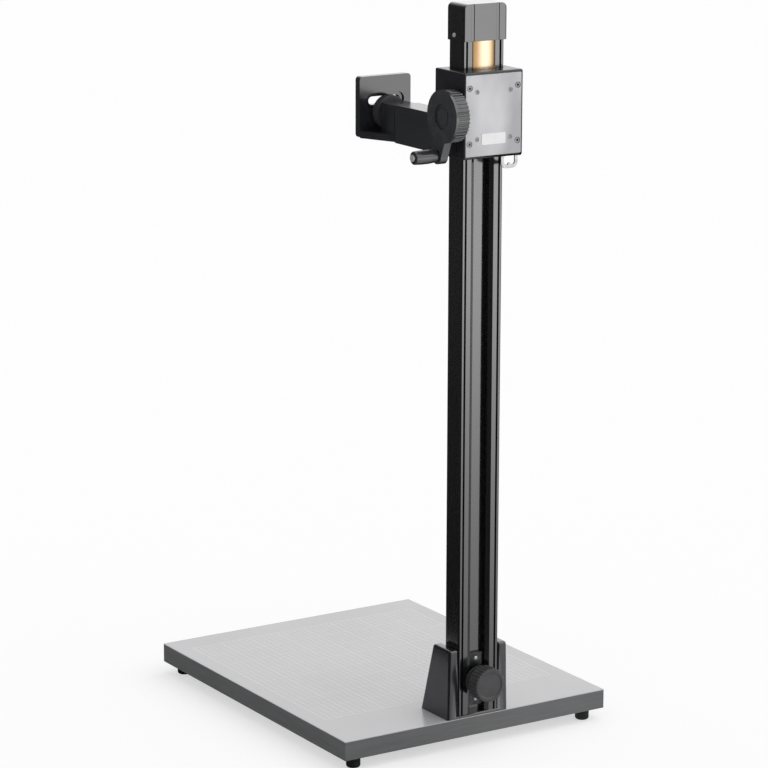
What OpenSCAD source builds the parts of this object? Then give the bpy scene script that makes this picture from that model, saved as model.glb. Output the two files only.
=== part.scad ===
// Copy stand: a gridded baseboard, a grooved column, a crank-driven carriage
// balanced by a spring tape, and an arm with a tilting camera bracket.
// Millimetres, +Z up, +X to the user's right (the crank's side), -Y to the front.
// The origin is on the surface under the rubber feet, in the middle of the stand.

/* [Baseboard] */
// Width of the board from side to side
board_w = 500; // [400:10:800]
// Depth of the board from front to back
board_d = 600; // [500:10:900]
// Thickness of the board with its laminate
board_t = 32; // [26:1:45]
// Thickness of the laminate on top of the board
laminate_t = 1.2; // [0.8:0.1:2]
// Thickness of the band glued round the edges
band_t = 2; // [1:0.5:4]

/* [Rubber feet] */
// Diameter of a rubber foot
foot_d = 23; // [18:1:30]
// Height of a rubber foot
foot_h = 20; // [14:1:30]
// Radius of the foot's lower edge
foot_edge_r = 4; // [2:0.5:4]
// Distance of a foot's axis from the board's side edge
foot_in_x = 28; // [20:1:60]
// Distance of a foot's axis from the front or rear edge
foot_in_y = 22; // [20:1:60]
// Diameter of the screw through a foot
foot_screw_d = 4; // [3:0.5:5]
// Diameter of that screw's head
foot_screw_head_d = 8; // [7:0.5:9]
// How deep the head sits in the rubber
foot_screw_sink = 8; // [5:0.5:10]
// How far the screw goes into the board
foot_screw_grip = 16; // [8:1:20]

/* [Column foot] */
// Height of the cheeks above the board
cheek_h = 116; // [100:1:150]
// Depth of a cheek at the board
cheek_d = 80; // [70:1:110]
// Depth of a cheek at its top
cheek_top_d = 50; // [40:1:65]
// Thickness of a cheek at the board
cheek_t = 20; // [18:1:28]
// Thickness of a cheek at its top
cheek_top_t = 17; // [10:1:18]
// Thickness of the web in front of the column
web_t = 14; // [10:1:20]
// Height of that web
web_h = 92; // [80:1:100]
// Diameter of the bolts that come up through the board
foot_bolt_d = 8; // [6:1:10]
// Diameter of their heads
foot_bolt_head_d = 13; // [12:1:18]
// Height of their heads
foot_bolt_head_h = 6; // [4:1:8]
// How far the bolts go into the cheeks
foot_bolt_grip = 20; // [12:1:28]
// Distance between the front and rear bolts
foot_bolt_pitch = 44; // [30:1:50]
// Thickness of the foot's floor under the column
foot_floor_t = 5; // [3:0.5:8]

/* [Column] */
// Width of the column
column_w = 75; // [70:1:90]
// Depth of the column
column_d = 40; // [36:1:50]
// Height of the column above the board
column_h = 1130; // [900:10:1500]
// Wall of the column's hollow chambers
column_wall = 3; // [2:0.5:4]
// Radius of the column's corners
column_r = 2.5; // [1:0.5:3]
// Width of the rear channel
channel_w = 28.6; // [26:0.2:32]
// Depth of the rear channel
channel_depth = 13; // [11:0.1:14]
// Width of a narrow groove on the rear face
groove_w = 3.7; // [2:0.1:5]
// Distance of a narrow groove from the middle
groove_x = 30.8; // [29.8:0.1:31.2]
// Depth of a narrow groove
groove_depth = 3.5; // [2:0.5:5]
// Width of the slope on each side of the channel
lip_w = 6.6; // [5:0.1:6.8]
// Depth of that slope at the channel
lip_depth = 3.5; // [2:0.1:4]

/* [Clamping knob] */
// Height of the knob's axis above the board
knob_z = 60; // [50:1:75]
// Diameter of the knob
knob_d = 56; // [45:1:64]
// Thickness of the knob's grip
knob_t = 24; // [18:1:30]
// Diameter of the knob's hub
knob_hub_d = 30; // [24:1:34]
// Length of the knob's hub
knob_hub_t = 9; // [6:1:14]
// Number of scallops round the knob
knob_scallops = 30; // [16:2:40]
// Diameter of a scallop
scallop_d = 3.4; // [2:0.1:4]
// Depth of the dish in the knob's face
knob_dish = 1.5; // [0.5:0.5:3]
// Diameter of the knob's washer
knob_washer_d = 47; // [45:1:50]
// Thickness of the knob's washer
knob_washer_t = 3; // [2:0.5:4]
// Diameter of the knob's stud
stud_d = 10; // [8:1:12]
// Thread pitch of the stud
stud_pitch = 1.5; // [1:0.25:2]
// Length of the plate in the channel
channel_plate_h = 88; // [70:1:90]
// Thickness of that plate
channel_plate_t = 5; // [4:0.5:7]
// Distance between that plate's screws
channel_plate_screws = 68; // [50:1:74]
// Diameter of those screws
channel_screw_d = 4; // [3:0.5:5]

/* [Column cap] */
// Width of the cap
cap_w = 80; // [80:1:100]
// How far the cap reaches down over the column
cap_skirt = 40; // [35:1:60]
// Height of the cap above the column's top
cap_rise = 17.5; // [15:0.5:30]
// Thickness of the cap's front, rear and top walls
cap_wall = 2; // [1.5:0.5:3]
// Radius of the cap's upper side edges
cap_top_r = 11; // [5:1:12]
// Height of the room over the column's sides inside the cap
cap_side_room = 4; // [2:1:6]
// Space between the column's rear face and the cap's rear wall
cap_back_gap = 2.5; // [2:0.1:3]
// Width of a flute in the cap's rear face
cap_flute_w = 5; // [2:0.5:6]
// Depth of the flute
cap_flute_depth = 1; // [0.5:0.1:1.2]
// Distance of the flutes from the middle
cap_flute_x = 23; // [18:1:28]
// How far the ridge in the middle of the cap's rear face stands out
cap_ridge = 0.8; // [0.2:0.1:1.5]
// Diameter of the cap screws
cap_screw_d = 4; // [3:0.5:5]
// Diameter of their heads
cap_screw_head_d = 7.5; // [6:0.5:9]
// Height of their heads
cap_screw_head_h = 2.2; // [1.5:0.1:3]

/* [Spring tape] */
// Width of the tape
tape_w = 41; // [36:1:42]
// Thickness of the tape
tape_t = 0.3; // [0.2:0.05:0.4]
// Distance of the tape's middle behind the column's rear face
tape_back = 1.5; // [1.4:0.1:1.8]
// Outer radius of the wound tape
coil_r = 11.2; // [10:0.1:11.3]
// Outer radius of the drum's core
drum_core_r = 6; // [5:0.5:7]
// Thickness of the drum's flanges
drum_flange_t = 1.6; // [1:0.1:2]
// Diameter of the drum's axle
drum_axle_d = 6; // [5:0.5:6]
// Distance of the drum's axle from the housing's top
drum_in = 29; // [25:1:33]

/* [Carriage] */
// Height of the housing
housing_h = 134; // [132:1:160]
// How far the housing stands behind the column
housing_back = 29; // [29:1:36]
// How far the housing stands in front of the column
housing_front = 14; // [14:1:20]
// Distance of the carriage's middle from the column's top at rest
carriage_drop = 151; // [145:1:300]
// Thickness of the housing's side walls
side_wall = 3.2; // [2:0.1:3.5]
// Thickness of the housing's front, top and bottom walls
housing_wall = 4; // [3:0.5:5]
// Radius of the housing's upright edges
housing_r = 3; // [2:0.5:5]
// Thickness of the rear cover
cover_t = 2.5; // [2:0.1:3]
// Width of the blank label
label_w = 44; // [30:1:50]
// Height of the blank label
label_h = 17.5; // [12:0.5:20]
// Thickness of the blank label
label_t = 0.6; // [0.4:0.1:1]
// Height of the label's middle above the housing's underside
label_in = 30; // [20:1:36]
// Thickness of a bearing plate
bearing_t = 6; // [5:0.5:7]
// Distance of a bearing plate's inner face from the middle
bearing_x = 27.7; // [27:0.1:29]
// Distance of a bearing plate's ends from the housing's floor and top
bearing_end_gap = 8; // [6:1:10]
// Distance of the cover screws from the housing's top and underside
cover_screw_in = 30.4; // [29:0.2:37]
// Diameter of the cover screws
cover_screw_d = 4; // [3:0.5:4]
// Diameter of their heads
cover_screw_head_d = 7; // [6:0.5:8]

/* [Rollers and pads] */
// Radius of a side roller
roller_r = 6.5; // [6:0.1:6.5]
// Length of a side roller
roller_len = 28; // [20:1:30]
// Space between a roller and the housing's side wall
roller_play = 0.5; // [0.3:0.1:1]
// Distance of the rollers' axes from the housing's top and underside
roller_in = 24; // [21:1:29]
// Diameter of the bolts that the rollers turn on
roller_bolt_d = 5; // [4:0.5:6]
// Diameter of their heads
roller_bolt_head_d = 8.5; // [7:0.5:9]
// Diameter of the recess round a head
roller_bolt_recess_d = 10; // [9.5:0.5:11]
// Outer diameter of the spacers on those bolts
spacer_d = 9; // [7.5:0.5:10]
// Distance of the front glide pads from the housing's floor and top
pad_end_gap = 5; // [4:1:9]
// Height of a glide pad
pad_h = 12; // [8:1:14]
// Width of a front glide pad
pad_w = 14; // [10:1:15]
// Thickness of a rear glide pad
rear_pad_t = 3; // [2:0.5:3]

/* [Crank] */
// Diameter of the crank shaft
shaft_d = 8; // [6:0.5:8]
// Width of a drive roller, which runs on the column's rear face
drive_roller_w = 6; // [4:0.5:6]
// Wall of a shaft bush
bush_wall = 1.5; // [1:0.5:1.5]
// Distance of the shaft's axis behind the column's rear face
shaft_back = 8; // [8:0.1:8.5]
// Thickness of the friction washer
friction_t = 2; // [1:0.5:3]
// Outer diameter of the friction washer
friction_d = 34; // [24:1:40]
// Radius of the crank wheel
wheel_r = 41.5; // [36:0.5:46]
// Thickness of the crank wheel
wheel_t = 25; // [20:1:30]
// Thickness of the smooth disc on its outer side
disc_t = 4; // [3:0.5:6]
// How far the disc stands out past the ribs
disc_lip = 0.4; // [0.2:0.1:2]
// Number of ribs round the wheel
wheel_ribs = 40; // [24:4:48]
// Diameter of a rib
wheel_rib_d = 3.4; // [2:0.1:4]
// Radius of the dish in the wheel's outer face
dish_r = 20; // [14:0.5:24]
// Depth of the dish
dish_depth = 3; // [1:0.5:4]
// Diameter of the cap in the dish
hub_cap_d = 26; // [20:1:26]
// Distance of the crank grip from the shaft
crank_r = 64; // [56:1:75]
// Lean of the crank arm to the front at rest
crank_angle = 13; // [0:1:45]
// Radius of the boss at the end of the crank arm
boss_r = 13; // [12:0.5:16]
// Thickness of the crank arm
crank_arm_t = 13; // [10:1:16]
// Diameter of the crank grip
grip_d = 22; // [18:1:26]
// Length of the crank grip
grip_len = 42; // [35:1:60]
// Diameter of the grip's spindle
spindle_d = 8; // [6:0.5:8]

/* [Cable loop] */
// Width of the loop
loop_w = 31; // [26:1:34]
// How far the loop hangs below the housing
loop_drop = 20; // [16:1:24]
// Width of the loop's bar
loop_bar = 5.6; // [4:0.2:7]
// Thickness of the loop's metal
loop_t = 2.5; // [2:0.5:4]
// Distance of the loop's middle to the left of the column's middle
loop_x = 34.8; // [33:0.2:35]
// Height of the nub on the loop's lower bar
nub_h = 3; // [2:0.5:4]

/* [Arm] */
// Width of the arm
arm_w = 45; // [40:1:50]
// Height of the arm
arm_h = 62; // [58:1:64]
// Wall of the arm's box section
arm_wall = 4; // [3:0.5:5]
// Length of the arm in front of the housing
arm_len = 166.5; // [120:0.5:300]
// How far the arm reaches below the housing
arm_below = 9.2; // [8:0.1:12]
// Distance of the lower arm bolts above the housing's floor
arm_bolt_rise = 9.3; // [8:0.1:14]
// Distance of the upper arm bolts below the arm's top
arm_bolt_drop = 11; // [10:1:16]
// Diameter of the bolts that hold the arm
arm_bolt_d = 6; // [5:0.5:6]
// Diameter of the pivot between arm and camera bracket
pivot_d = 24; // [20:1:28]
// Length of the block in the front end of the arm
end_block_d = 22; // [16:1:30]

/* [Camera bracket] */
// Width of the block behind the camera plate
head_w = 44; // [40:1:50]
// Height of that block
head_h = 59; // [56:1:64]
// Depth of that block
head_d = 40; // [32:1:50]
// Gap between that block and the camera plate
head_gap = 23; // [22:0.5:30]
// Width of the camera plate
plate_w = 97; // [90:1:120]
// Height of the camera plate
plate_h = 99; // [92:1:120]
// Thickness of the camera plate
plate_t = 13; // [11:0.5:15]
// Radius of the camera plate's corners
plate_r = 6; // [4:0.5:8]
// Thickness of the bracket's floor
floor_t = 11.5; // [9:0.5:14]
// Length of the slot through the camera plate
slot_len = 60; // [40:1:66]
// Height of the slot
slot_h = 13.5; // [10:0.5:14]
// Width of the recess round the slot
recess_margin = 6; // [4:0.5:7]
// Depth of that recess
recess_depth = 3.5; // [2:0.5:4]
// Height of the slot above the arm's middle
slot_z = 29; // [28.5:0.5:34]
// Thickness of the rubber pad on the plate
pad_t = 2; // [1:0.5:3]
// Distance of the rubber pad from the plate's edges
pad_margin = 4; // [2:0.5:8]

/* [Camera screw] */
// Height of the camera screw above the arm's middle
screw_z = 11.2; // [10:0.1:12]
// Diameter of the camera screw, a quarter of an inch
screw_d = 6.35; // [5:0.05:6.35]
// Thread pitch of the camera screw, twenty turns to the inch
screw_pitch = 1.27; // [1:0.01:1.5]
// How far the screw stands out of the rubber pad at rest
screw_reach = 3.5; // [2:0.5:6]
// Diameter of its plain shank behind the thread
screw_shank_d = 5.4; // [4:0.1:6]
// Diameter of its knurled wheel
screw_wheel_d = 56; // [48:1:58]
// Thickness of its knurled wheel
screw_wheel_t = 15.5; // [12:0.5:16]
// Distance of the wheel from the block behind it
screw_wheel_back = 3.2; // [1.5:0.1:3.5]
// Number of knurls round the wheel
screw_knurls = 60; // [40:4:72]
// Diameter of a knurl
knurl_d = 1.8; // [1:0.1:2.2]
// Thickness of the screw's washer
screw_washer_t = 1.5; // [1:0.1:2]
// Diameter of the screw's washer
screw_washer_d = 16; // [12:0.5:16]

/* [Fits] */
// Clearance round a screw or bolt in a plain hole
screw_gap = 0.3; // [0.2:0.05:0.5]
// Clearance round a screw in its thread, or a pin in its seat
thread_gap = 0.03; // [0.02:0.01:0.05]
// Radial clearance of a shaft in its bush
running_gap = 0.05; // [0.03:0.01:0.1]
// Gap between the carriage and the column
guide_gap = 0.3; // [0.2:0.05:0.5]
// Gap round the column where the housing passes it
pass_gap = 0.8; // [0.6:0.1:1.2]
// Gap between turning and standing faces
face_gap = 0.1; // [0.05:0.05:0.3]
// Gap between the arm and the camera bracket
seam_gap = 1; // [0.8:0.1:1.5]

/* [Hidden] */

// Smoothness of round parts
$fn = 64;
// A cut reaches this far past the face it goes through
cut = 1;

// Heights above the surface that the stand is on
board_top = foot_h + board_t;
laminate_z = board_top - laminate_t;
column_top = board_top + column_h;
carriage_z = column_top - carriage_drop;
housing_low = carriage_z - housing_h / 2;
housing_high = carriage_z + housing_h / 2;
arm_z = housing_low - arm_below + arm_h / 2;
knob_axis_z = board_top + knob_z;

// The column's rear face is flush with the board's rear edge, at rear_y.
// All depths below are measured from that face, forward being negative.
knob_reach = knob_washer_t + knob_hub_t + knob_t;
rear_reach = max(knob_reach, shaft_back + wheel_r);
rear_y = (board_d - rear_reach) / 2;
column_front = -column_d;
housing_front_y = column_front - housing_front;
arm_front = housing_front_y - arm_len;
head_back = arm_front - seam_gap;
head_front = head_back - head_d;
plate_back = head_front - head_gap;
plate_front = plate_back - plate_t;
pad_front = plate_front - pad_t;

// Carriage
cover_y = housing_back - cover_t;
inner_w = column_w + 2 * (guide_gap + 2 * roller_r + roller_play);
housing_w = inner_w + 2 * side_wall;
inner_h = housing_h - 2 * housing_wall;
roller_x = column_w / 2 + guide_gap + roller_r;
roller_z = housing_h / 2 - roller_in;
pad_z = inner_h / 2 - pad_end_gap - pad_h / 2;
cover_screw_pitch = housing_h - 2 * cover_screw_in;
bearing_h = inner_h - 2 * bearing_end_gap;
drum_z = housing_h / 2 - drum_in;
label_z = housing_low + label_in;
bearing_mid = bearing_x + bearing_t / 2;
drum_y = tape_back - tape_t / 2 + coil_r;
drum_flange_r = coil_r - 0.6;
coil_gap = 0.1;
drum_end = bearing_x - 2 * face_gap;

// Crank
wheel_in = housing_w / 2 + friction_t + face_gap;
wheel_out = wheel_in + wheel_t;
bush_d = shaft_d + 2 * bush_wall;
boss_y = shaft_back - crank_r * sin(crank_angle);
boss_z = carriage_z - crank_r * cos(crank_angle);
grip_in = wheel_out + 1;
grip_out = grip_in + grip_len;

// A box between two corners
module box(x0, x1, y0, y1, z0, z1) {
    translate([x0, y0, z0]) cube([x1 - x0, y1 - y0, z1 - z0]);
}

// Round bars along the three axes, each from its first end to its second
module bar_x(d, x0, x1, y, z) {
    translate([x0, y, z]) rotate([0, 90, 0]) cylinder(d = d, h = x1 - x0);
}
module bar_y(d, y0, y1, x, z) {
    translate([x, y0, z]) rotate([-90, 0, 0]) cylinder(d = d, h = y1 - y0);
}
module bar_z(d, z0, z1, x, y) {
    translate([x, y, z0]) cylinder(d = d, h = z1 - z0);
}

// A rectangle about the origin with true arcs at its corners
module round_rect(w, h, r) {
    square([w - 2 * r, h], center = true);
    square([w, h - 2 * r], center = true);
    for (i = [-1, 1], j = [-1, 1])
        translate([i * (w / 2 - r), j * (h / 2 - r)]) circle(r = r);
}

// A flat outline drawn in X and Z, made solid from y0 back to y1
module upright(y0, y1) {
    translate([0, y1, 0]) rotate([90, 0, 0]) linear_extrude(height = y1 - y0) children();
}

// A flat outline drawn in Y and Z, made solid from x0 to x1
module sideways(x0, x1) {
    translate([x0, 0, 0]) rotate([90, 0, 90]) linear_extrude(height = x1 - x0) children();
}

// Everything that is placed from the column's rear face
module at_column() {
    translate([0, rear_y, 0]) children();
}

// Four places: left and right, front and back
module four_feet() {
    for (i = [-1, 1], j = [-1, 1])
        translate([i * (board_w / 2 - foot_in_x), j * (board_d / 2 - foot_in_y), 0]) children();
}

// The board lies forward of the column's rear face
module at_board() {
    translate([0, rear_y - board_d / 2, 0]) children();
}

foot_bolt_x = column_w / 2 + guide_gap + cheek_t / 2 - 1;
foot_bolt_y = -cheek_d / 2;
module four_foot_bolts() {
    for (i = [-1, 1], j = [-1, 1])
        translate([i * foot_bolt_x, foot_bolt_y + j * foot_bolt_pitch / 2, 0]) children();
}

foot_bolt_seat = foot_h + foot_bolt_head_h + 2;

module baseboard_core() {
    color([0.45, 0.36, 0.26])
    difference() {
        at_board() box(-board_w / 2 + band_t, board_w / 2 - band_t,
                       -board_d / 2 + band_t, board_d / 2 - band_t, foot_h, laminate_z);
        at_column() four_foot_bolts() {
            bar_z(foot_bolt_d + 2 * screw_gap, foot_h - cut, laminate_z + cut, 0, 0);
            bar_z(foot_bolt_head_d + 2 * screw_gap, foot_h - cut, foot_bolt_seat, 0, 0);
        }
        at_board() four_feet()
            bar_z(foot_screw_d + 2 * thread_gap, foot_h - cut, foot_h + foot_screw_grip + cut, 0, 0);
    }
}

module baseboard_laminate() {
    color([0.80, 0.81, 0.83])
    difference() {
        at_board() box(-board_w / 2, board_w / 2, -board_d / 2, board_d / 2, laminate_z, board_top);
        at_column() four_foot_bolts()
            bar_z(foot_bolt_d + 2 * screw_gap, laminate_z - cut, board_top + cut, 0, 0);
    }
}

module edge_band() {
    color([0.38, 0.38, 0.39])
    at_board() difference() {
        box(-board_w / 2, board_w / 2, -board_d / 2, board_d / 2, foot_h, laminate_z);
        box(-board_w / 2 + band_t, board_w / 2 - band_t,
            -board_d / 2 + band_t, board_d / 2 - band_t, foot_h - cut, laminate_z + cut);
    }
}

module rubber_feet() {
    color([0.05, 0.05, 0.05])
    at_board() four_feet() difference() {
        rotate_extrude() {
            translate([0, foot_edge_r]) square([foot_d / 2, foot_h - foot_edge_r]);
            square([foot_d / 2 - foot_edge_r, foot_edge_r + 0.01]);
            intersection() {
                translate([foot_d / 2 - foot_edge_r, foot_edge_r]) circle(r = foot_edge_r);
                square([foot_d / 2, foot_edge_r + 0.01]);
            }
        }
        bar_z(foot_screw_head_d + 2 * screw_gap, -cut, foot_screw_sink, 0, 0);
        bar_z(foot_screw_d + 2 * screw_gap, -cut, foot_h + cut, 0, 0);
    }
}

module foot_screws() {
    color([0.55, 0.55, 0.56])
    at_board() four_feet() {
        bar_z(foot_screw_d, foot_screw_sink - 0.5, foot_h + foot_screw_grip, 0, 0);
        bar_z(foot_screw_head_d, foot_screw_sink - 2.5, foot_screw_sink, 0, 0);
    }
}

cheek_in = column_w / 2 + guide_gap;
cheek_top = board_top + cheek_h;
web_back = -column_d - guide_gap;

module cheek() {
    intersection() {
        upright(-cheek_d - cut, cut)
            polygon([[cheek_in, board_top], [cheek_in + cheek_t, board_top],
                     [cheek_in + cheek_top_t, cheek_top], [cheek_in, cheek_top]]);
        sideways(cheek_in - cut, cheek_in + cheek_t + cut)
            polygon([[-cheek_d, board_top], [0, board_top], [0, cheek_top], [-cheek_top_d, cheek_top]]);
    }
}

module column_foot() {
    color([0.06, 0.06, 0.07])
    at_column() difference() {
        union() {
            cheek();
            mirror([1, 0, 0]) cheek();
            box(-cheek_in - 1, cheek_in + 1, web_back - web_t, web_back, board_top, board_top + web_h);
            box(-cheek_in - 1, cheek_in + 1, web_back - 1, 0, board_top, board_top + foot_floor_t);
        }
        four_foot_bolts()
            bar_z(foot_bolt_d + 2 * thread_gap, board_top - cut, board_top + foot_bolt_grip + cut, 0, 0);
        bar_y(stud_d + 2 * running_gap, web_back - web_t - cut, web_back + cut, 0, knob_axis_z);
    }
}

module foot_bolts() {
    color([0.30, 0.30, 0.31])
    at_column() four_foot_bolts() {
        bar_z(foot_bolt_d, foot_bolt_seat - 1, board_top + foot_bolt_grip, 0, 0);
        bar_z(foot_bolt_head_d, foot_bolt_seat - foot_bolt_head_h, foot_bolt_seat, 0, 0);
    }
}

// The column's section, drawn in X and Y with its rear face on Y = 0
module column_section() {
    chamber_x = channel_w / 2 + column_wall;
    chamber_w = column_w / 2 - column_wall - chamber_x;
    chamber_y = -column_d + column_wall;
    difference() {
        translate([0, -column_d / 2]) round_rect(column_w, column_d, column_r);
        translate([-channel_w / 2, -channel_depth]) square([channel_w, channel_depth + cut]);
        polygon([[-channel_w / 2, -lip_depth], [channel_w / 2, -lip_depth],
                 [channel_w / 2 + lip_w, 0], [channel_w / 2 + lip_w, cut],
                 [-channel_w / 2 - lip_w, cut], [-channel_w / 2 - lip_w, 0]]);
        for (i = [-1, 1])
            translate([i * groove_x - groove_w / 2, -groove_depth]) square([groove_w, groove_depth + cut]);
        translate([-channel_w / 2, chamber_y])
            square([channel_w, -channel_depth - column_wall - chamber_y]);
        for (i = [-1, 1])
            translate([i > 0 ? chamber_x : -chamber_x - chamber_w, chamber_y])
                square([chamber_w, -groove_depth - column_wall - chamber_y]);
    }
}

cap_screw_y = -column_d * 0.56;
cap_screw_z = column_top - cap_skirt + 8.5;
plate_screw_zs = [knob_axis_z - channel_plate_screws / 2, knob_axis_z + channel_plate_screws / 2];
anchor_screw_y = -column_d + column_wall / 2;

module column() {
    color([0.05, 0.05, 0.055])
    at_column() difference() {
        translate([0, 0, board_top + foot_floor_t]) linear_extrude(height = column_h - foot_floor_t)
            column_section();
        bar_y(stud_d + 2 * screw_gap, -column_d - cut, cut, 0, knob_axis_z);
        for (z = plate_screw_zs)
            bar_y(channel_screw_d + 2 * thread_gap, -channel_depth - column_wall - cut,
                  -channel_depth + cut, 0, z);
        bar_x(cap_screw_d + 2 * thread_gap, -column_w / 2 - cut, column_w / 2 + cut,
              cap_screw_y, cap_screw_z);
        for (i = [-1, 1])
            bar_z(anchor_screw_d + 2 * thread_gap, column_top - anchor_grip - 1, column_top + cut,
                  i * anchor_screw_x, anchor_screw_y);
    }
}

module channel_plate() {
    plate_half = channel_w / 2 - guide_gap;
    color([0.22, 0.22, 0.23])
    at_column() difference() {
        box(-plate_half, plate_half, -channel_depth, -channel_depth + channel_plate_t,
            knob_axis_z - channel_plate_h / 2, knob_axis_z + channel_plate_h / 2);
        bar_y(stud_d + 2 * screw_gap, -channel_depth - cut, cut, 0, knob_axis_z);
        for (z = plate_screw_zs)
            bar_y(channel_screw_d + 2 * screw_gap, -channel_depth - cut, cut, 0, z);
    }
}

module channel_plate_screws() {
    head_y = -channel_depth + channel_plate_t;
    color([0.80, 0.80, 0.80])
    at_column() for (z = plate_screw_zs) {
        bar_y(channel_screw_d, -channel_depth - column_wall, head_y + 0.5, 0, z);
        bar_y(channel_screw_d * 1.8, head_y, head_y + 2.2, 0, z);
    }
}

cap_low = column_top - cap_skirt;
cap_high = column_top + cap_rise;
cap_back = cap_back_gap + cap_wall;
cap_front = -column_d - 0.2 - cap_wall - 0.6;
cap_room_half = cap_w / 2 - cap_top_r;

module column_cap() {
    cap_d = cap_back - cap_front;
    color([0.06, 0.06, 0.065])
    at_column() difference() {
        intersection() {
            translate([0, 0, cap_low]) linear_extrude(height = cap_high - cap_low) {
                translate([0, (cap_back + cap_front) / 2]) round_rect(cap_w, cap_d, column_r + 1);
                polygon([[-cap_flute_x, cap_back], [-cap_flute_x, 0], [cap_flute_x, 0],
                         [cap_flute_x, cap_back], [0, cap_back + cap_ridge]]);
            }
            upright(cap_front - cut, cap_back + cap_ridge + cut) {
                translate([0, (cap_high + cap_low) / 2 - cap_top_r])
                    square([cap_w, cap_high - cap_low], center = true);
                translate([0, (cap_high + cap_low) / 2]) round_rect(cap_w, cap_high - cap_low, cap_top_r);
            }
        }
        box(-column_w / 2 - 0.2, column_w / 2 + 0.2, -column_d - 0.2, cap_back_gap,
            cap_low - cut, column_top + cap_side_room);
        box(-cap_room_half, cap_room_half, -column_d - 0.2, cap_back_gap,
            column_top, cap_high - cap_wall - 1);
        for (i = [-1, 1])
            box(i * cap_flute_x - cap_flute_w / 2, i * cap_flute_x + cap_flute_w / 2,
                cap_back - cap_flute_depth, cap_back + cut, cap_low - cut, cap_high + cut);
        bar_x(cap_screw_d + 2 * screw_gap, -cap_w / 2 - cut, cap_w / 2 + cut, cap_screw_y, cap_screw_z);
    }
}

module cap_screws() {
    shank_in = column_w / 2 - column_wall - 1;
    color([0.82, 0.82, 0.82])
    at_column() for (i = [0, 1]) mirror([i, 0, 0]) {
        bar_x(cap_screw_d, shank_in, cap_w / 2 + 0.5, cap_screw_y, cap_screw_z);
        bar_x(cap_screw_head_d, cap_w / 2, cap_w / 2 + cap_screw_head_h, cap_screw_y, cap_screw_z);
    }
}

anchor_t = 3;
anchor_leg_t = 1.2;
anchor_leg_h = 15;
anchor_screw_d = 2.2;
anchor_screw_head_d = 3.1;
anchor_screw_x = cap_room_half - anchor_screw_d - 1;
anchor_grip = 10;
tape_front = tape_back - tape_t / 2;
tape_rear = tape_back + tape_t / 2;
rivet_x = channel_w / 2 - 6;
rivet_z = column_top - 6;

module tape_anchor() {
    half = tape_w / 2 - 0.5;
    wide = anchor_screw_x + 4;
    color([0.45, 0.45, 0.46])
    at_column() difference() {
        union() {
            box(-wide, wide, -column_d + 0.5, tape_front, column_top, column_top + anchor_t);
            box(-half, half, tape_front - anchor_leg_t, tape_front,
                column_top - anchor_leg_h, column_top + anchor_t);
        }
        for (i = [-1, 1]) {
            bar_z(anchor_screw_d + 2 * screw_gap, column_top - cut, column_top + anchor_t + cut,
                  i * anchor_screw_x, anchor_screw_y);
            bar_y(rivet_d + 2 * thread_gap, tape_front - anchor_leg_t - cut, tape_front + cut,
                  i * rivet_x, rivet_z);
        }
        box(-half + 3, half - 3, -column_d + column_wall + 6, -8, column_top - cut,
            column_top + anchor_t + cut);
    }
}

module anchor_screws() {
    color([0.55, 0.55, 0.56])
    at_column() for (i = [-1, 1]) {
        bar_z(anchor_screw_d, column_top - anchor_grip, column_top + anchor_t + 0.5,
              i * anchor_screw_x, anchor_screw_y);
        bar_z(anchor_screw_head_d, column_top + anchor_t, column_top + anchor_t + 2,
              i * anchor_screw_x, anchor_screw_y);
    }
}

rivet_d = 3;
rivet_head_t = 0.5;

module tape_rivets() {
    color([0.70, 0.70, 0.71])
    at_column() for (i = [-1, 1]) {
        bar_y(rivet_d, tape_front - anchor_leg_t - rivet_head_t / 2, tape_rear + rivet_head_t / 2,
              i * rivet_x, rivet_z);
        bar_y(rivet_d * 1.8, tape_rear, tape_rear + rivet_head_t, i * rivet_x, rivet_z);
        bar_y(rivet_d * 1.5, tape_front - anchor_leg_t - rivet_head_t, tape_front - anchor_leg_t,
              i * rivet_x, rivet_z);
    }
}

tape_low = carriage_z + drum_z;

module spring_tape() {
    color([0.80, 0.66, 0.42])
    at_column() difference() {
        box(-tape_w / 2, tape_w / 2, tape_front, tape_rear, tape_low, column_top);
        for (i = [-1, 1])
            bar_y(rivet_d + 2 * thread_gap, tape_front - cut, tape_rear + cut, i * rivet_x, rivet_z);
    }
}

module knob_washer() {
    color([0.08, 0.08, 0.085])
    at_column() difference() {
        bar_y(knob_washer_d, 0, knob_washer_t, 0, knob_axis_z);
        bar_y(stud_d + 2 * screw_gap, -cut, knob_washer_t + cut, 0, knob_axis_z);
    }
}

module clamping_knob() {
    grip_back = knob_washer_t + knob_hub_t;
    color([0.14, 0.14, 0.145])
    at_column() difference() {
        union() {
            bar_y(knob_hub_d, knob_washer_t, grip_back + 1, 0, knob_axis_z);
            upright(grip_back, knob_reach) translate([0, knob_axis_z]) difference() {
                circle(d = knob_d);
                for (i = [0:knob_scallops - 1])
                    rotate(i * 360 / knob_scallops) translate([knob_d / 2 + 0.4, 0])
                        circle(d = scallop_d);
            }
        }
        bar_y(knob_d * 0.78, knob_reach - knob_dish, knob_reach + cut, 0, knob_axis_z);
        bar_y(stud_d + 2 * thread_gap, knob_washer_t - cut, knob_reach - 6, 0, knob_axis_z);
    }
}

module knob_stud() {
    color([0.55, 0.55, 0.56])
    at_column() bar_y(stud_d, web_back - web_t + 2, knob_reach - 7, 0, knob_axis_z);
}

// Four places on the carriage: left and right, up and down, from its middle
module carriage_four(x, z) {
    for (i = [-1, 1], j = [-1, 1]) translate([i * x, 0, carriage_z + j * z]) children();
}

ledge = 3;
loop_back = cover_y - ledge - 1.5;
shaft_hole_d = bush_d + 2 * thread_gap;

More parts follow.
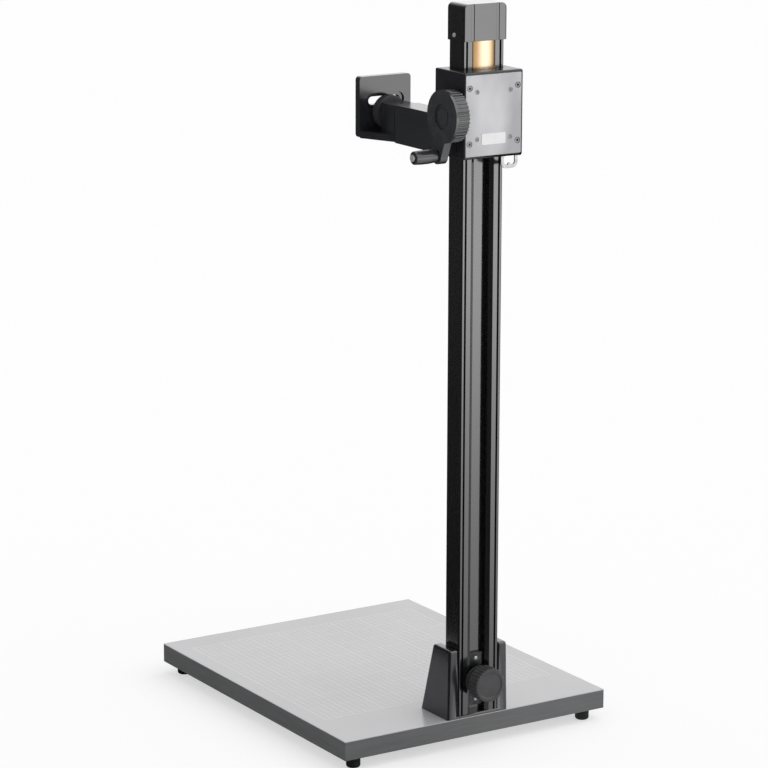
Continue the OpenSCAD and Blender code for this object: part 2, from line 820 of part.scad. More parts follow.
module carriage_housing() {
    depth = housing_back - housing_front_y;
    color([0.055, 0.055, 0.06])
    at_column() difference() {
        translate([0, (housing_back + housing_front_y) / 2, housing_low])
            linear_extrude(height = housing_h) round_rect(housing_w, depth, housing_r);
        difference() {
            box(-inner_w / 2, inner_w / 2, housing_front_y + housing_wall, housing_back + cut,
                housing_low + housing_wall, housing_high - housing_wall);
            for (j = [-1, 1])
                translate([0, 0, carriage_z + j * (inner_h / 2 - ledge / 2)])
                    box(-inner_w / 2 + 12, inner_w / 2 - 12, cover_y - ledge, cover_y,
                        -ledge / 2, ledge / 2);
        }
        box(-column_w / 2 - pass_gap, column_w / 2 + pass_gap, -column_d - pass_gap, pass_gap,
            housing_low - cut, housing_high + cut);
        box(-tape_w / 2 - 1, tape_w / 2 + 1, 0, tape_rear + 2, carriage_z, housing_high + cut);
        bar_x(shaft_hole_d, housing_w / 2 - side_wall - cut, housing_w / 2 + cut, shaft_back, carriage_z);
        carriage_four(roller_x, roller_z)
            bar_y(roller_bolt_d + 2 * thread_gap, housing_front_y + 1,
                  housing_front_y + housing_wall + cut, 0, 0);
        arm_bolt_places()
            bar_y(arm_bolt_d + 2 * screw_gap, housing_front_y - cut,
                  housing_front_y + housing_wall + cut, 0, 0);
        translate([-loop_x, 0, 0]) for (i = [-1, 1])
            translate([i * (loop_w - loop_bar) / 2, 0, 0])
                box(-loop_bar / 2 - 0.1, loop_bar / 2 + 0.1, loop_back - loop_t - 0.1, loop_back + 0.1,
                    housing_low - cut, housing_low + housing_wall + cut);
    }
}

module rear_cover() {
    color([0.62, 0.63, 0.65])
    at_column() difference() {
        upright(cover_y, housing_back) translate([0, carriage_z])
            round_rect(inner_w - 0.4, inner_h - 0.4, 1.5);
        carriage_four(bearing_mid, cover_screw_pitch / 2) {
            bar_y(cover_screw_d + 2 * screw_gap, cover_y - cut, housing_back + cut, 0, 0);
            bar_y(cover_screw_head_d + 2 * screw_gap, housing_back - 1.6, housing_back + cut, 0, 0);
        }
        carriage_four(roller_x, roller_z) {
            bar_y(roller_bolt_d + 2 * screw_gap, cover_y - cut, housing_back + cut, 0, 0);
            bar_y(roller_bolt_recess_d, housing_back - 1.6, housing_back + cut, 0, 0);
        }
    }
}

module blank_label() {
    color([0.92, 0.92, 0.92])
    at_column() upright(housing_back, housing_back + label_t)
        translate([0, label_z]) round_rect(label_w, label_h, 1.5);
}

module cover_screws() {
    color([0.70, 0.70, 0.71])
    at_column() carriage_four(bearing_mid, cover_screw_pitch / 2) difference() {
        union() {
            bar_y(cover_screw_d, cover_y - 8, housing_back - 1, 0, 0);
            bar_y(cover_screw_head_d, housing_back - 1.6, housing_back, 0, 0);
        }
        box(-2.2, 2.2, housing_back - 0.8, housing_back + cut, -0.4, 0.4);
        box(-0.4, 0.4, housing_back - 0.8, housing_back + cut, -2.2, 2.2);
    }
}

module roller_bolts() {
    color([0.80, 0.80, 0.80])
    at_column() carriage_four(roller_x, roller_z) difference() {
        union() {
            bar_y(roller_bolt_d, housing_front_y + 1.5, housing_back - 1, 0, 0);
            bar_y(roller_bolt_head_d, housing_back - 1.6, housing_back - 0.3, 0, 0);
        }
        upright(housing_back - 1, housing_back + cut) circle(d = 4, $fn = 6);
    }
}

roller_mid = -column_d / 2;

module roller_spacers() {
    bore = roller_bolt_d + 2 * screw_gap;
    color([0.60, 0.60, 0.60])
    at_column() carriage_four(roller_x, roller_z) difference() {
        union() {
            bar_y(spacer_d, roller_mid + roller_len / 2 + 2 * face_gap, cover_y, 0, 0);
            bar_y(spacer_d, housing_front_y + housing_wall, roller_mid - roller_len / 2 - 2 * face_gap,
                  0, 0);
        }
        bar_y(bore, housing_front_y, cover_y + cut, 0, 0);
    }
}

module side_roller(i, j) {
    color([0.88, 0.87, 0.84])
    at_column() translate([i * roller_x, 0, carriage_z + j * roller_z]) difference() {
        bar_y(2 * roller_r, roller_mid - roller_len / 2, roller_mid + roller_len / 2, 0, 0);
        bar_y(roller_bolt_d + 2 * running_gap, roller_mid - roller_len / 2 - cut,
              roller_mid + roller_len / 2 + cut, 0, 0);
    }
}
module upper_right_roller() { side_roller(1, 1); }
module lower_right_roller() { side_roller(1, -1); }
module upper_left_roller() { side_roller(-1, 1); }
module lower_left_roller() { side_roller(-1, -1); }

pad_x = column_w / 2 - 3 - pad_w / 2;

module front_glide_pads() {
    color([0.86, 0.86, 0.82])
    at_column() carriage_four(pad_x, pad_z)
        box(-pad_w / 2, pad_w / 2, housing_front_y + housing_wall, -column_d - guide_gap,
            -pad_h / 2, pad_h / 2);
}

rear_pad_half = bearing_t / 2 + 2;

module rear_glide_pads() {
    color([0.86, 0.86, 0.82])
    at_column() carriage_four(bearing_mid, pad_z - 5)
        box(-rear_pad_half, rear_pad_half, guide_gap, guide_gap + rear_pad_t, -pad_h / 2, pad_h / 2);
}

module bearing_plate() {
    color([0.50, 0.50, 0.51])
    at_column() difference() {
        box(bearing_x, bearing_x + bearing_t, guide_gap * 2, cover_y,
            carriage_z - bearing_h / 2, carriage_z + bearing_h / 2);
        for (j = [-1, 1]) {
            translate([0, 0, carriage_z + j * (pad_z - 5)])
                box(bearing_x - cut, bearing_x + bearing_t + cut, 0, guide_gap + rear_pad_t,
                    -pad_h / 2, pad_h / 2);
            bar_y(cover_screw_d + 2 * thread_gap, cover_y - 9, cover_y + cut, bearing_mid,
                  carriage_z + j * cover_screw_pitch / 2);
        }
        bar_x(shaft_hole_d, bearing_x - cut, bearing_x + bearing_t + cut, shaft_back, carriage_z);
        bar_x(drum_axle_d + 2 * thread_gap, bearing_x - cut, bearing_x + bearing_t + cut, drum_y,
              carriage_z + drum_z);
    }
}
module right_bearing_plate() { bearing_plate(); }
module left_bearing_plate() { mirror([1, 0, 0]) bearing_plate(); }

// Each bush is as long as the wall that holds it
module shaft_bush(x0, x1) {
    difference() {
        bar_x(bush_d, x0, x1, shaft_back, carriage_z);
        bar_x(shaft_d + 2 * running_gap, x0 - cut, x1 + cut, shaft_back, carriage_z);
    }
}

module shaft_bushes() {
    color([0.70, 0.52, 0.28])
    at_column() {
        shaft_bush(bearing_x, bearing_x + bearing_t);
        shaft_bush(-bearing_x - bearing_t, -bearing_x);
        shaft_bush(housing_w / 2 - side_wall, housing_w / 2);
    }
}

module drum_axle() {
    color([0.60, 0.60, 0.61])
    at_column() bar_x(drum_axle_d, -bearing_x - bearing_t, bearing_x + bearing_t, drum_y,
                      carriage_z + drum_z);
}

drum_bore_d = drum_axle_d + 2 * running_gap;

module spring_drum() {
    color([0.20, 0.20, 0.21])
    at_column() difference() {
        union() {
            bar_x(2 * drum_core_r - 0.4, -drum_end, drum_end, drum_y, carriage_z + drum_z);
            for (i = [-1, 1])
                translate([i * (tape_w / 2 + face_gap + drum_flange_t / 2), 0, 0])
                    bar_x(2 * drum_flange_r, -drum_flange_t / 2, drum_flange_t / 2, drum_y,
                          carriage_z + drum_z);
        }
        bar_x(drum_bore_d, -drum_end - cut, drum_end + cut, drum_y, carriage_z + drum_z);
    }
}

module spring_coil() {
    color([0.80, 0.66, 0.42])
    at_column() difference() {
        bar_x(2 * (coil_r - tape_t - coil_gap), -tape_w / 2, tape_w / 2, drum_y, carriage_z + drum_z);
        bar_x(2 * drum_core_r, -tape_w / 2 - cut, tape_w / 2 + cut, drum_y, carriage_z + drum_z);
    }
}

module cable_loop() {
    seat = housing_low + housing_wall;
    low = housing_low - loop_drop;
    height = seat + 4 - low;
    opening_w = loop_w - 2 * loop_bar;
    opening_h = seat - low - loop_bar;
    corner = loop_bar * 1.7;
    color([0.45, 0.45, 0.44])
    at_column() upright(loop_back - loop_t, loop_back) translate([-loop_x, low]) {
        difference() {
            union() {
                translate([0, height / 2]) round_rect(loop_w, height, corner);
                translate([-loop_w / 2, height / 2]) square([loop_w, height / 2]);
            }
            translate([0, loop_bar + opening_h / 2]) round_rect(opening_w, opening_h, corner - loop_bar);
            translate([-opening_w / 2, loop_bar + opening_h / 2]) square([opening_w, opening_h / 2]);
        }
        translate([0, loop_bar]) difference() {
            circle(r = nub_h);
            translate([-nub_h - cut, -nub_h - cut - 0.5]) square([2 * nub_h + 2 * cut, nub_h + cut]);
        }
    }
}

collar_t = 4;

module crank_shaft() {
    color([0.62, 0.62, 0.63])
    at_column() bar_x(shaft_d, -bearing_x - bearing_t - collar_t - 1, wheel_out - dish_depth - 6,
                      shaft_back, carriage_z);
}

// The rollers run on the lands beside the channel, next to the bearing plates
drive_roller_r = shaft_back - guide_gap;
land_mid = bearing_x - 2 * face_gap - drive_roller_w / 2;

module drive_rollers() {
    color([0.14, 0.13, 0.12])
    at_column() for (i = [-1, 1]) translate([i * land_mid, 0, 0]) difference() {
        bar_x(2 * drive_roller_r, -drive_roller_w / 2, drive_roller_w / 2, shaft_back, carriage_z);
        bar_x(shaft_d + 2 * thread_gap, -drive_roller_w, drive_roller_w, shaft_back, carriage_z);
    }
}

module shaft_collar() {
    outer = -bearing_x - bearing_t - face_gap;
    color([0.35, 0.35, 0.36])
    at_column() difference() {
        bar_x(shaft_d + 7, outer - collar_t, outer, shaft_back, carriage_z);
        bar_x(shaft_d + 2 * thread_gap, outer - collar_t - cut, outer + cut, shaft_back, carriage_z);
    }
}

module friction_washer() {
    color([0.55, 0.42, 0.28])
    at_column() difference() {
        bar_x(friction_d, housing_w / 2, housing_w / 2 + friction_t, shaft_back, carriage_z);
        bar_x(shaft_d + 2 * screw_gap, housing_w / 2 - cut, housing_w / 2 + friction_t + cut,
              shaft_back, carriage_z);
    }
}

disc_in = wheel_out - disc_t;
rim_wall = 4;
rib_circle_r = wheel_r - disc_lip - wheel_rib_d / 2;
crank_arm_in = wheel_out - crank_arm_t;

module crank_wheel() {
    arm_root_half = dish_r - 1;
    arm_tip_half = boss_r - 0.5;
    color([0.16, 0.16, 0.165])
    at_column() difference() {
        union() {
            sideways(wheel_in, disc_in + 0.5) translate([shaft_back, carriage_z]) difference() {
                union() {
                    circle(r = rib_circle_r);
                    for (i = [0:wheel_ribs - 1])
                        rotate(i * 360 / wheel_ribs) translate([rib_circle_r, 0])
                            circle(d = wheel_rib_d, $fn = 24);
                }
                circle(r = rib_circle_r - rim_wall);
            }
            bar_x(2 * wheel_r, disc_in, wheel_out, shaft_back, carriage_z);
            bar_x(friction_d - 4, wheel_in, wheel_out, shaft_back, carriage_z);
            bar_x(2 * boss_r, crank_arm_in, wheel_out, boss_y, boss_z);
            sideways(crank_arm_in, wheel_out) translate([shaft_back, carriage_z])
                rotate(-90 - crank_angle)
                    polygon([[dish_r + 4, -arm_root_half], [crank_r, -arm_tip_half],
                             [crank_r, arm_tip_half], [dish_r + 4, arm_root_half]]);
        }
        bar_x(2 * dish_r, wheel_out - dish_depth, wheel_out + cut, shaft_back, carriage_z);
        bar_x(shaft_d + 2 * thread_gap, wheel_in - cut, wheel_out - dish_depth - 5.9, shaft_back,
              carriage_z);
        bar_x(spindle_d - 2 + 2 * thread_gap, crank_arm_in - cut, wheel_out + cut, boss_y, boss_z);
    }
}

module hub_cap() {
    color([0.12, 0.12, 0.125])
    at_column() bar_x(hub_cap_d, wheel_out - dish_depth, wheel_out - dish_depth + 1.5, shaft_back,
                      carriage_z);
}

spindle_head_t = 2;

module grip_spindle() {
    color([0.82, 0.82, 0.82])
    at_column() {
        bar_x(spindle_d - 2, crank_arm_in + 1, wheel_out + 1, boss_y, boss_z);
        bar_x(spindle_d, wheel_out, grip_out, boss_y, boss_z);
        bar_x(spindle_d + 3, grip_out + face_gap, grip_out + face_gap + spindle_head_t, boss_y, boss_z);
        bar_x(spindle_d - 1, grip_out - 1, grip_out + 1, boss_y, boss_z);
    }
}

module crank_grip() {
    color([0.16, 0.16, 0.165])
    at_column() translate([grip_in, boss_y, boss_z]) rotate([0, 90, 0]) difference() {
        union() {
            translate([0, 0, 2]) cylinder(d = grip_d, h = grip_len - 4);
            cylinder(d1 = grip_d - 3, d2 = grip_d, h = 2.01);
            translate([0, 0, grip_len - 2.01]) cylinder(d1 = grip_d, d2 = grip_d - 3, h = 2.01);
        }
        translate([0, 0, -cut]) cylinder(d = spindle_d + 2 * running_gap, h = grip_len + 2 * cut);
    }
}

module arm_bolt_places() {
    for (i = [-1, 1], z = [housing_low + housing_wall + arm_bolt_rise, arm_z + arm_h / 2 - arm_bolt_drop])
        translate([i * (arm_w / 2 - arm_wall - 7), 0, z]) children();
}

arm_inner_w = arm_w - 2 * arm_wall;
arm_inner_h = arm_h - 2 * arm_wall;
root_block_d = 24;

module arm_tube() {
    color([0.06, 0.065, 0.08])
    at_column() upright(arm_front, housing_front_y) translate([0, arm_z]) difference() {
        round_rect(arm_w, arm_h, 1.5);
        square([arm_inner_w, arm_inner_h], center = true);
    }
}

module arm_root_block() {
    color([0.35, 0.35, 0.36])
    at_column() difference() {
        upright(housing_front_y - root_block_d, housing_front_y) translate([0, arm_z])
            square([arm_inner_w, arm_inner_h], center = true);
        arm_bolt_places()
            bar_y(arm_bolt_d + 2 * thread_gap, housing_front_y - root_block_d - cut,
                  housing_front_y + cut, 0, 0);
    }
}

module arm_bolts() {
    inner_face = housing_front_y + housing_wall;
    color([0.40, 0.40, 0.41])
    at_column() arm_bolt_places() {
        bar_y(arm_bolt_d, housing_front_y - root_block_d + 4, inner_face + 0.5, 0, 0);
        bar_y(arm_bolt_d * 1.6, inner_face, inner_face + 4, 0, 0);
    }
}

module arm_end_block() {
    color([0.35, 0.35, 0.36])
    at_column() difference() {
        upright(arm_front, arm_front + end_block_d) translate([0, arm_z])
            square([arm_inner_w, arm_inner_h], center = true);
        bar_y(pivot_d + 2 * running_gap, arm_front - cut, arm_front + end_block_d + cut, 0, arm_z);
    }
}

ring_t = seam_gap - face_gap;

module friction_ring() {
    color([0.55, 0.42, 0.28])
    at_column() difference() {
        bar_y(pivot_d + 10, arm_front - ring_t, arm_front, 0, arm_z);
        bar_y(pivot_d + 2 * screw_gap, arm_front - ring_t - cut, arm_front + cut, 0, arm_z);
    }
}

head_low = arm_z - head_h / 2;
screw_axis_z = arm_z + screw_z;
pivot_seat = 26;
screw_hole_d = screw_d + 2 * screw_gap;

// A level slot drawn in X and Z
module slot_outline(len, height) {
    square([len - height, height], center = true);
    for (i = [-1, 1]) translate([i * (len - height) / 2, 0]) circle(d = height);
}

module camera_bracket() {
    color([0.07, 0.07, 0.075])
    at_column() difference() {
        union() {
            upright(plate_front, plate_back) translate([0, head_low + plate_h / 2])
                round_rect(plate_w, plate_h, plate_r);
            translate([0, 0, head_low]) linear_extrude(height = floor_t)
                polygon([[-plate_w / 2 + plate_r, plate_front], [plate_w / 2 - plate_r, plate_front],
                         [plate_w / 2 - plate_r, plate_back], [plate_w / 2 - 0.5, plate_back],
                         [head_w / 2, head_back], [-head_w / 2, head_back],
                         [-plate_w / 2 + 0.5, plate_back], [-plate_w / 2 + plate_r, plate_back]]);
            upright(head_front, head_back) translate([0, arm_z]) round_rect(head_w, head_h, 1.5);
        }
        upright(plate_front - cut, plate_back + cut) translate([0, arm_z + slot_z])
            slot_outline(slot_len, slot_h);
        upright(plate_back - recess_depth, plate_back + cut) translate([0, arm_z + slot_z])
            slot_outline(slot_len + 2 * recess_margin, slot_h + 2 * recess_margin);
        bar_y(screw_hole_d, plate_front - cut, plate_back + cut, 0, screw_axis_z);
        bar_y(screw_washer_d + 1, plate_back - screw_travel, plate_back + cut, 0, screw_axis_z);
        bar_y(pivot_d + 2 * thread_gap, head_back - pivot_seat, head_back + cut, 0, arm_z);
    }
}

screw_turns = 3;
screw_travel = screw_turns * screw_pitch - 1.6;

module pivot_spigot() {
    spigot_end = arm_front + end_block_d + 2 * face_gap;
    color([0.60, 0.60, 0.61])
    at_column() {
        bar_y(pivot_d, head_back - pivot_seat, spigot_end, 0, arm_z);
        bar_y(pivot_d + 8, spigot_end, spigot_end + 5, 0, arm_z);
    }
}

module camera_pad() {
    color([0.10, 0.10, 0.10])
    at_column() difference() {
        upright(pad_front, plate_front) translate([0, head_low + plate_h / 2])
            round_rect(plate_w - 2 * pad_margin, plate_h - 2 * pad_margin, plate_r - 2);
        upright(pad_front - cut, plate_front + cut) translate([0, arm_z + slot_z])
            slot_outline(slot_len, slot_h);
        bar_y(screw_hole_d + 2, pad_front - cut, plate_front + cut, 0, screw_axis_z);
    }
}

screw_wheel_rear = head_front - screw_wheel_back;
screw_wheel_front = screw_wheel_rear - screw_wheel_t;

module screw_washer() {
    color([0.60, 0.60, 0.61])
    at_column() difference() {
        bar_y(screw_washer_d, screw_wheel_front - screw_washer_t, screw_wheel_front, 0, screw_axis_z);
        bar_y(screw_shank_d + 2 * running_gap, screw_wheel_front - screw_washer_t - cut,
              screw_wheel_front + cut, 0, screw_axis_z);
    }
}

module screw_wheel() {
    color([0.13, 0.13, 0.135])
    at_column() difference() {
        upright(screw_wheel_front, screw_wheel_rear) translate([0, screw_axis_z]) difference() {
            circle(d = screw_wheel_d);
            for (i = [0:screw_knurls - 1])
                rotate(i * 360 / screw_knurls) translate([screw_wheel_d / 2 + knurl_d * 0.15, 0])
                    circle(d = knurl_d, $fn = 16);
        }
        bar_y(screw_shank_d + 2 * thread_gap, screw_wheel_front - cut, screw_wheel_rear + cut, 0,
              screw_axis_z);
    }
}

module camera_screw() {
    color([0.60, 0.60, 0.61])
    at_column() {
        bar_y(screw_shank_d, plate_front - 1, screw_wheel_rear, 0, screw_axis_z);
        bar_y(screw_d, pad_front - screw_reach, plate_front, 0, screw_axis_z);
    }
}

baseboard_core();
baseboard_laminate();
edge_band();
rubber_feet();
foot_screws();
column_foot();
foot_bolts();
column();
channel_plate();
channel_plate_screws();
column_cap();
cap_screws();
tape_anchor();
anchor_screws();
tape_rivets();
spring_tape();
knob_washer();
clamping_knob();
knob_stud();
carriage_housing();
rear_cover();
blank_label();
cover_screws();
roller_bolts();
roller_spacers();
upper_right_roller();
lower_right_roller();
upper_left_roller();
lower_left_roller();
front_glide_pads();
rear_glide_pads();
right_bearing_plate();
left_bearing_plate();
shaft_bushes();
drum_axle();
spring_drum();
spring_coil();
cable_loop();
crank_shaft();
drive_rollers();
shaft_collar();
friction_washer();
crank_wheel();
hub_cap();
grip_spindle();
crank_grip();
arm_tube();
arm_root_block();
arm_bolts();
arm_end_block();
friction_ring();
camera_bracket();
pivot_spigot();
camera_pad();
screw_washer();
screw_wheel();
camera_screw();
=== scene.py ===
import math

import bmesh
import bpy
from mathutils import Matrix, Vector


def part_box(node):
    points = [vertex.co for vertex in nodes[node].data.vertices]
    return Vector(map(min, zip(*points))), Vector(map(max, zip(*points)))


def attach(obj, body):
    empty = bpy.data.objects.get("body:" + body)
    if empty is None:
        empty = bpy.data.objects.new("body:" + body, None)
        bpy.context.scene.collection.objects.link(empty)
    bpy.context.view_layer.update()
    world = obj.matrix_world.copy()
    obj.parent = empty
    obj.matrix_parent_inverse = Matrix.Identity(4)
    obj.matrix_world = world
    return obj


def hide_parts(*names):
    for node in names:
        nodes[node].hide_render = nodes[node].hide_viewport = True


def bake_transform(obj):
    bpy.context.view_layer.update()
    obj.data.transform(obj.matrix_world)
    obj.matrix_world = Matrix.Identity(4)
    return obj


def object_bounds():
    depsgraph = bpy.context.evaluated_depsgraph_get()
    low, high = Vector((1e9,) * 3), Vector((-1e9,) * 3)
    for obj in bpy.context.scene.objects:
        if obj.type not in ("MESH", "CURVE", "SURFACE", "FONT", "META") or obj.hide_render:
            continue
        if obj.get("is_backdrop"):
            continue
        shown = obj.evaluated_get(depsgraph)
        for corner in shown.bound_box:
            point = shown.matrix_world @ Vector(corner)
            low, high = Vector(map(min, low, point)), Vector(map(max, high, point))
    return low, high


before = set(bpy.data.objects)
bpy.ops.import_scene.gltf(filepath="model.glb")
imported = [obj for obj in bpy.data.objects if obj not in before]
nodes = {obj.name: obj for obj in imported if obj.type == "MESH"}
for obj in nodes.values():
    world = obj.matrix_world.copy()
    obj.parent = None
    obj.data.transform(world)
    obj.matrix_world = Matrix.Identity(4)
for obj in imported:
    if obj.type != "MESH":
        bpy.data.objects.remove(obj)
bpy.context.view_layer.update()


# The baseboard's core is a pressed panel with a thin grey backing paper glued to its
# underside. The screws and bolts of the feet and the column go into it from below.

def tone(red, green, blue):
    """A colour as it looks on a screen, 0 to 255, as the shader wants it."""
    return tuple((c / 12.92 if c <= 0.04045 else ((c + 0.055) / 1.055) ** 2.4)
                 for c in (red / 255, green / 255, blue / 255)) + (1.0,)


def finish(name, dark, light, cloud, grain, rough, relief, metal=0.0, specular=0.5, coat=0.0):
    """A surface whose colour drifts between two tones, with a fine grain in its gloss and relief.
    cloud is the drift's frequency and grain the grain's, per metre along x, y and z."""
    drift_from = 0.35
    drift_to = 0.65
    noise_detail = 3.0
    bump_strength = 0.6
    coat_rough = 0.12
    made = bpy.data.materials.new(name)
    made.use_nodes = True
    tree = made.node_tree
    shader = tree.nodes["Principled BSDF"]
    shader.inputs["Metallic"].default_value = metal
    shader.inputs["Specular IOR Level"].default_value = specular
    shader.inputs["Coat Weight"].default_value = coat
    shader.inputs["Coat Roughness"].default_value = coat_rough
    place = tree.nodes.new("ShaderNodeTexCoord")
    noises = []
    for scale in (cloud, grain):
        turn = tree.nodes.new("ShaderNodeMapping")
        turn.inputs["Scale"].default_value = scale
        noise = tree.nodes.new("ShaderNodeTexNoise")
        noise.inputs["Scale"].default_value = 1.0
        noise.inputs["Detail"].default_value = noise_detail
        tree.links.new(place.outputs["Object"], turn.inputs["Vector"])
        tree.links.new(turn.outputs["Vector"], noise.inputs["Vector"])
        noises.append(noise)
    blend = tree.nodes.new("ShaderNodeValToRGB")
    blend.name = "tones"
    blend.color_ramp.elements[0].position = drift_from
    blend.color_ramp.elements[0].color = dark
    blend.color_ramp.elements[1].position = drift_to
    blend.color_ramp.elements[1].color = light
    tree.links.new(noises[0].outputs["Fac"], blend.inputs["Fac"])
    tree.links.new(blend.outputs["Color"], shader.inputs["Base Color"])
    gloss = tree.nodes.new("ShaderNodeMapRange")
    gloss.inputs["To Min"].default_value = rough[0]
    gloss.inputs["To Max"].default_value = rough[1]
    tree.links.new(noises[1].outputs["Fac"], gloss.inputs["Value"])
    tree.links.new(gloss.outputs["Result"], shader.inputs["Roughness"])
    bump = tree.nodes.new("ShaderNodeBump")
    bump.inputs["Strength"].default_value = bump_strength
    bump.inputs["Distance"].default_value = relief
    tree.links.new(noises[1].outputs["Fac"], bump.inputs["Height"])
    tree.links.new(bump.outputs["Normal"], shader.inputs["Normal"])
    return made


def dress(material, *names):
    """Puts a material on CAD nodes that keep their own shape."""
    for name in names:
        skin = nodes[name].data.materials
        skin.clear()
        skin.append(material)


grey_backing = finish("grey backing", tone(168, 168, 166), tone(182, 182, 180), (30, 30, 30),
                      (900, 900, 900), (0.6, 0.8), 0.0001)
dress(grey_backing, "baseboard_core")


# The board's top is a 1.2 mm sheet of light grey laminate, glued to the core. A grid of
# fine white lines is printed under its clear wear layer, with a stronger line every fifth.

def copied(node):
    """A CAD node's shape as one closed skin, with its flat faces whole."""
    same_place = 2e-6
    nearly_flat = math.radians(0.5)
    shape = bmesh.new()
    shape.from_mesh(nodes[node].data)
    bmesh.ops.remove_doubles(shape, verts=shape.verts, dist=same_place)
    bmesh.ops.dissolve_limit(shape, angle_limit=nearly_flat, verts=shape.verts, edges=shape.edges)
    return shape


def ease(shape, radius, steps=3, sharper=40.0, chosen=None):
    """Rounds the edges that are sharper than an angle in degrees. Where chosen is given,
    it says yes or no to each edge's middle, and the edges have room for the whole radius."""
    edges = [e for e in shape.edges
             if e.is_manifold and e.calc_face_angle(0.0) > math.radians(sharper)
             and (chosen is None or chosen((e.verts[0].co + e.verts[1].co) / 2))]
    bmesh.ops.bevel(shape, geom=edges, offset=radius, offset_type="OFFSET", segments=steps,
                    profile=0.5, affect="EDGES", clamp_overlap=chosen is None, material=-1)
    return shape


def piece(name, shape, body, slot, material, *stands_for):
    """The finished object of one piece, on its body and in place of its CAD nodes."""
    sharp_from = math.radians(42)
    face_share = 100
    bmesh.ops.recalc_face_normals(shape, faces=shape.faces)
    mesh = bpy.data.meshes.new(name)
    shape.to_mesh(mesh)
    shape.free()
    mesh.shade_smooth()
    mesh.set_sharp_from_angle(angle=sharp_from)
    mesh.materials.append(material)
    made = bpy.data.objects.new(name, mesh)
    bpy.context.scene.collection.objects.link(made)
    even = made.modifiers.new("even shading", "WEIGHTED_NORMAL")
    even.keep_sharp = True
    even.weight = face_share
    if body:
        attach(made, body)
    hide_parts(*stands_for)
    return made


square = 0.011
squares_across = 40
squares_deep = 40
squares_to_strong = 5
grid_rear = 0.165
fine_line = 0.00035
strong_line = 0.0006

grey_laminate = finish("grey laminate", tone(190, 190, 192), tone(196, 196, 198), (5, 5, 5),
                       (1800, 1800, 1800), (0.22, 0.3), 0.00001, specular=0.6)
tree = grey_laminate.node_tree
place = tree.nodes["Texture Coordinate"]
corner = tree.nodes.new("ShaderNodeMapping")
corner.inputs["Location"].default_value = (squares_across * square / 2,
                                           squares_deep * square - grid_rear, 0)
tree.links.new(place.outputs["Object"], corner.inputs["Vector"])
rulings = []
for pitch, line in ((square, fine_line),
                    (squares_to_strong * square, strong_line)):
    ruling = tree.nodes.new("ShaderNodeTexBrick")
    ruling.offset = 0.0
    ruling.squash = 1.0
    ruling.inputs["Scale"].default_value = 1.0
    ruling.inputs["Brick Width"].default_value = pitch
    ruling.inputs["Row Height"].default_value = pitch
    ruling.inputs["Mortar Size"].default_value = line / 2
    ruling.inputs["Mortar Smooth"].default_value = 0.0
    tree.links.new(corner.outputs["Vector"], ruling.inputs["Vector"])
    rulings.append(ruling)
lines = tree.nodes.new("ShaderNodeMath")
lines.operation = "MAXIMUM"
tree.links.new(rulings[0].outputs["Fac"], lines.inputs[0])
tree.links.new(rulings[1].outputs["Fac"], lines.inputs[1])
axes = tree.nodes.new("ShaderNodeSeparateXYZ")
tree.links.new(corner.outputs["Vector"], axes.inputs["Vector"])
printed = lines
for axis, count in (("X", squares_across), ("Y", squares_deep)):
    reach = count * square / 2
    inside = tree.nodes.new("ShaderNodeMath")
    inside.operation = "COMPARE"
    inside.inputs[1].default_value = reach
    inside.inputs[2].default_value = reach + strong_line / 2
    tree.links.new(axes.outputs[axis], inside.inputs[0])
    both = tree.nodes.new("ShaderNodeMath")
    both.operation = "MULTIPLY"
    tree.links.new(printed.outputs[0], both.inputs[0])
    tree.links.new(inside.outputs[0], both.inputs[1])
    printed = both
ink = tree.nodes.new("ShaderNodeMix")
ink.data_type = "RGBA"
ink.inputs["B"].default_value = tone(238, 238, 239)
tree.links.new(printed.outputs[0], ink.inputs["Factor"])
tree.links.new(tree.nodes["tones"].outputs["Color"], ink.inputs["A"])
tree.links.new(ink.outputs["Result"], tree.nodes["Principled BSDF"].inputs["Base Color"])

laminate_edge = 0.0004
piece("laminate_sheet", ease(copied("baseboard_laminate"), laminate_edge, 2), "stand", "laminate",
      grey_laminate, "baseboard_laminate")


# The board's cut edges are closed with a 2 mm grey plastic band, ironed on and trimmed
# flush. Fine streaks run along it.

band_edge = 0.0006
edge_plastic = finish("edge plastic", tone(100, 101, 102), tone(107, 108, 109), (14, 14, 300),
                      (60, 60, 2400), (0.38, 0.5), 0.00003)
piece("board_edge_band", ease(copied("edge_band"), band_edge, 2), "stand", "edge_band",
      edge_plastic, "edge_band")


# Four turned rubber feet, 23 mm across with a rolled lower edge. A screw in each one's
# recess holds it against the board.

def turned(profile, axis, centre, steps=64):
    """A profile of (radius, place along the axis) turned round an axis through a centre.
    A profile that leaves the axis out is closed into a ring."""
    along, out = {"x": (Vector((1, 0, 0)), Vector((0, 0, 1))),
                  "y": (Vector((0, 1, 0)), Vector((0, 0, 1))),
                  "z": (Vector((0, 0, 1)), Vector((1, 0, 0)))}[axis]
    middle = Vector(centre)
    shape = bmesh.new()
    points = [shape.verts.new(middle + out * r + along * h) for r, h in profile]
    chain = [shape.edges.new(pair) for pair in zip(points, points[1:])]
    if profile[0][0] > 0 and profile[-1][0] > 0:
        chain.append(shape.edges.new((points[-1], points[0])))
    bmesh.ops.spin(shape, geom=points + chain, cent=middle, axis=along, dvec=(0, 0, 0),
                   angle=2 * math.pi, steps=steps, use_merge=True, use_duplicate=False)
    bmesh.ops.remove_doubles(shape, verts=shape.verts, dist=1e-6)
    bmesh.ops.recalc_face_normals(shape, faces=shape.faces)
    return shape


def gathered(shapes):
    """Several closed shapes as one piece's mesh."""
    whole = bmesh.new()
    for shape in shapes:
        mesh = bpy.data.meshes.new("part")
        shape.to_mesh(mesh)
        shape.free()
        whole.from_mesh(mesh)
        bpy.data.meshes.remove(mesh)
    return whole


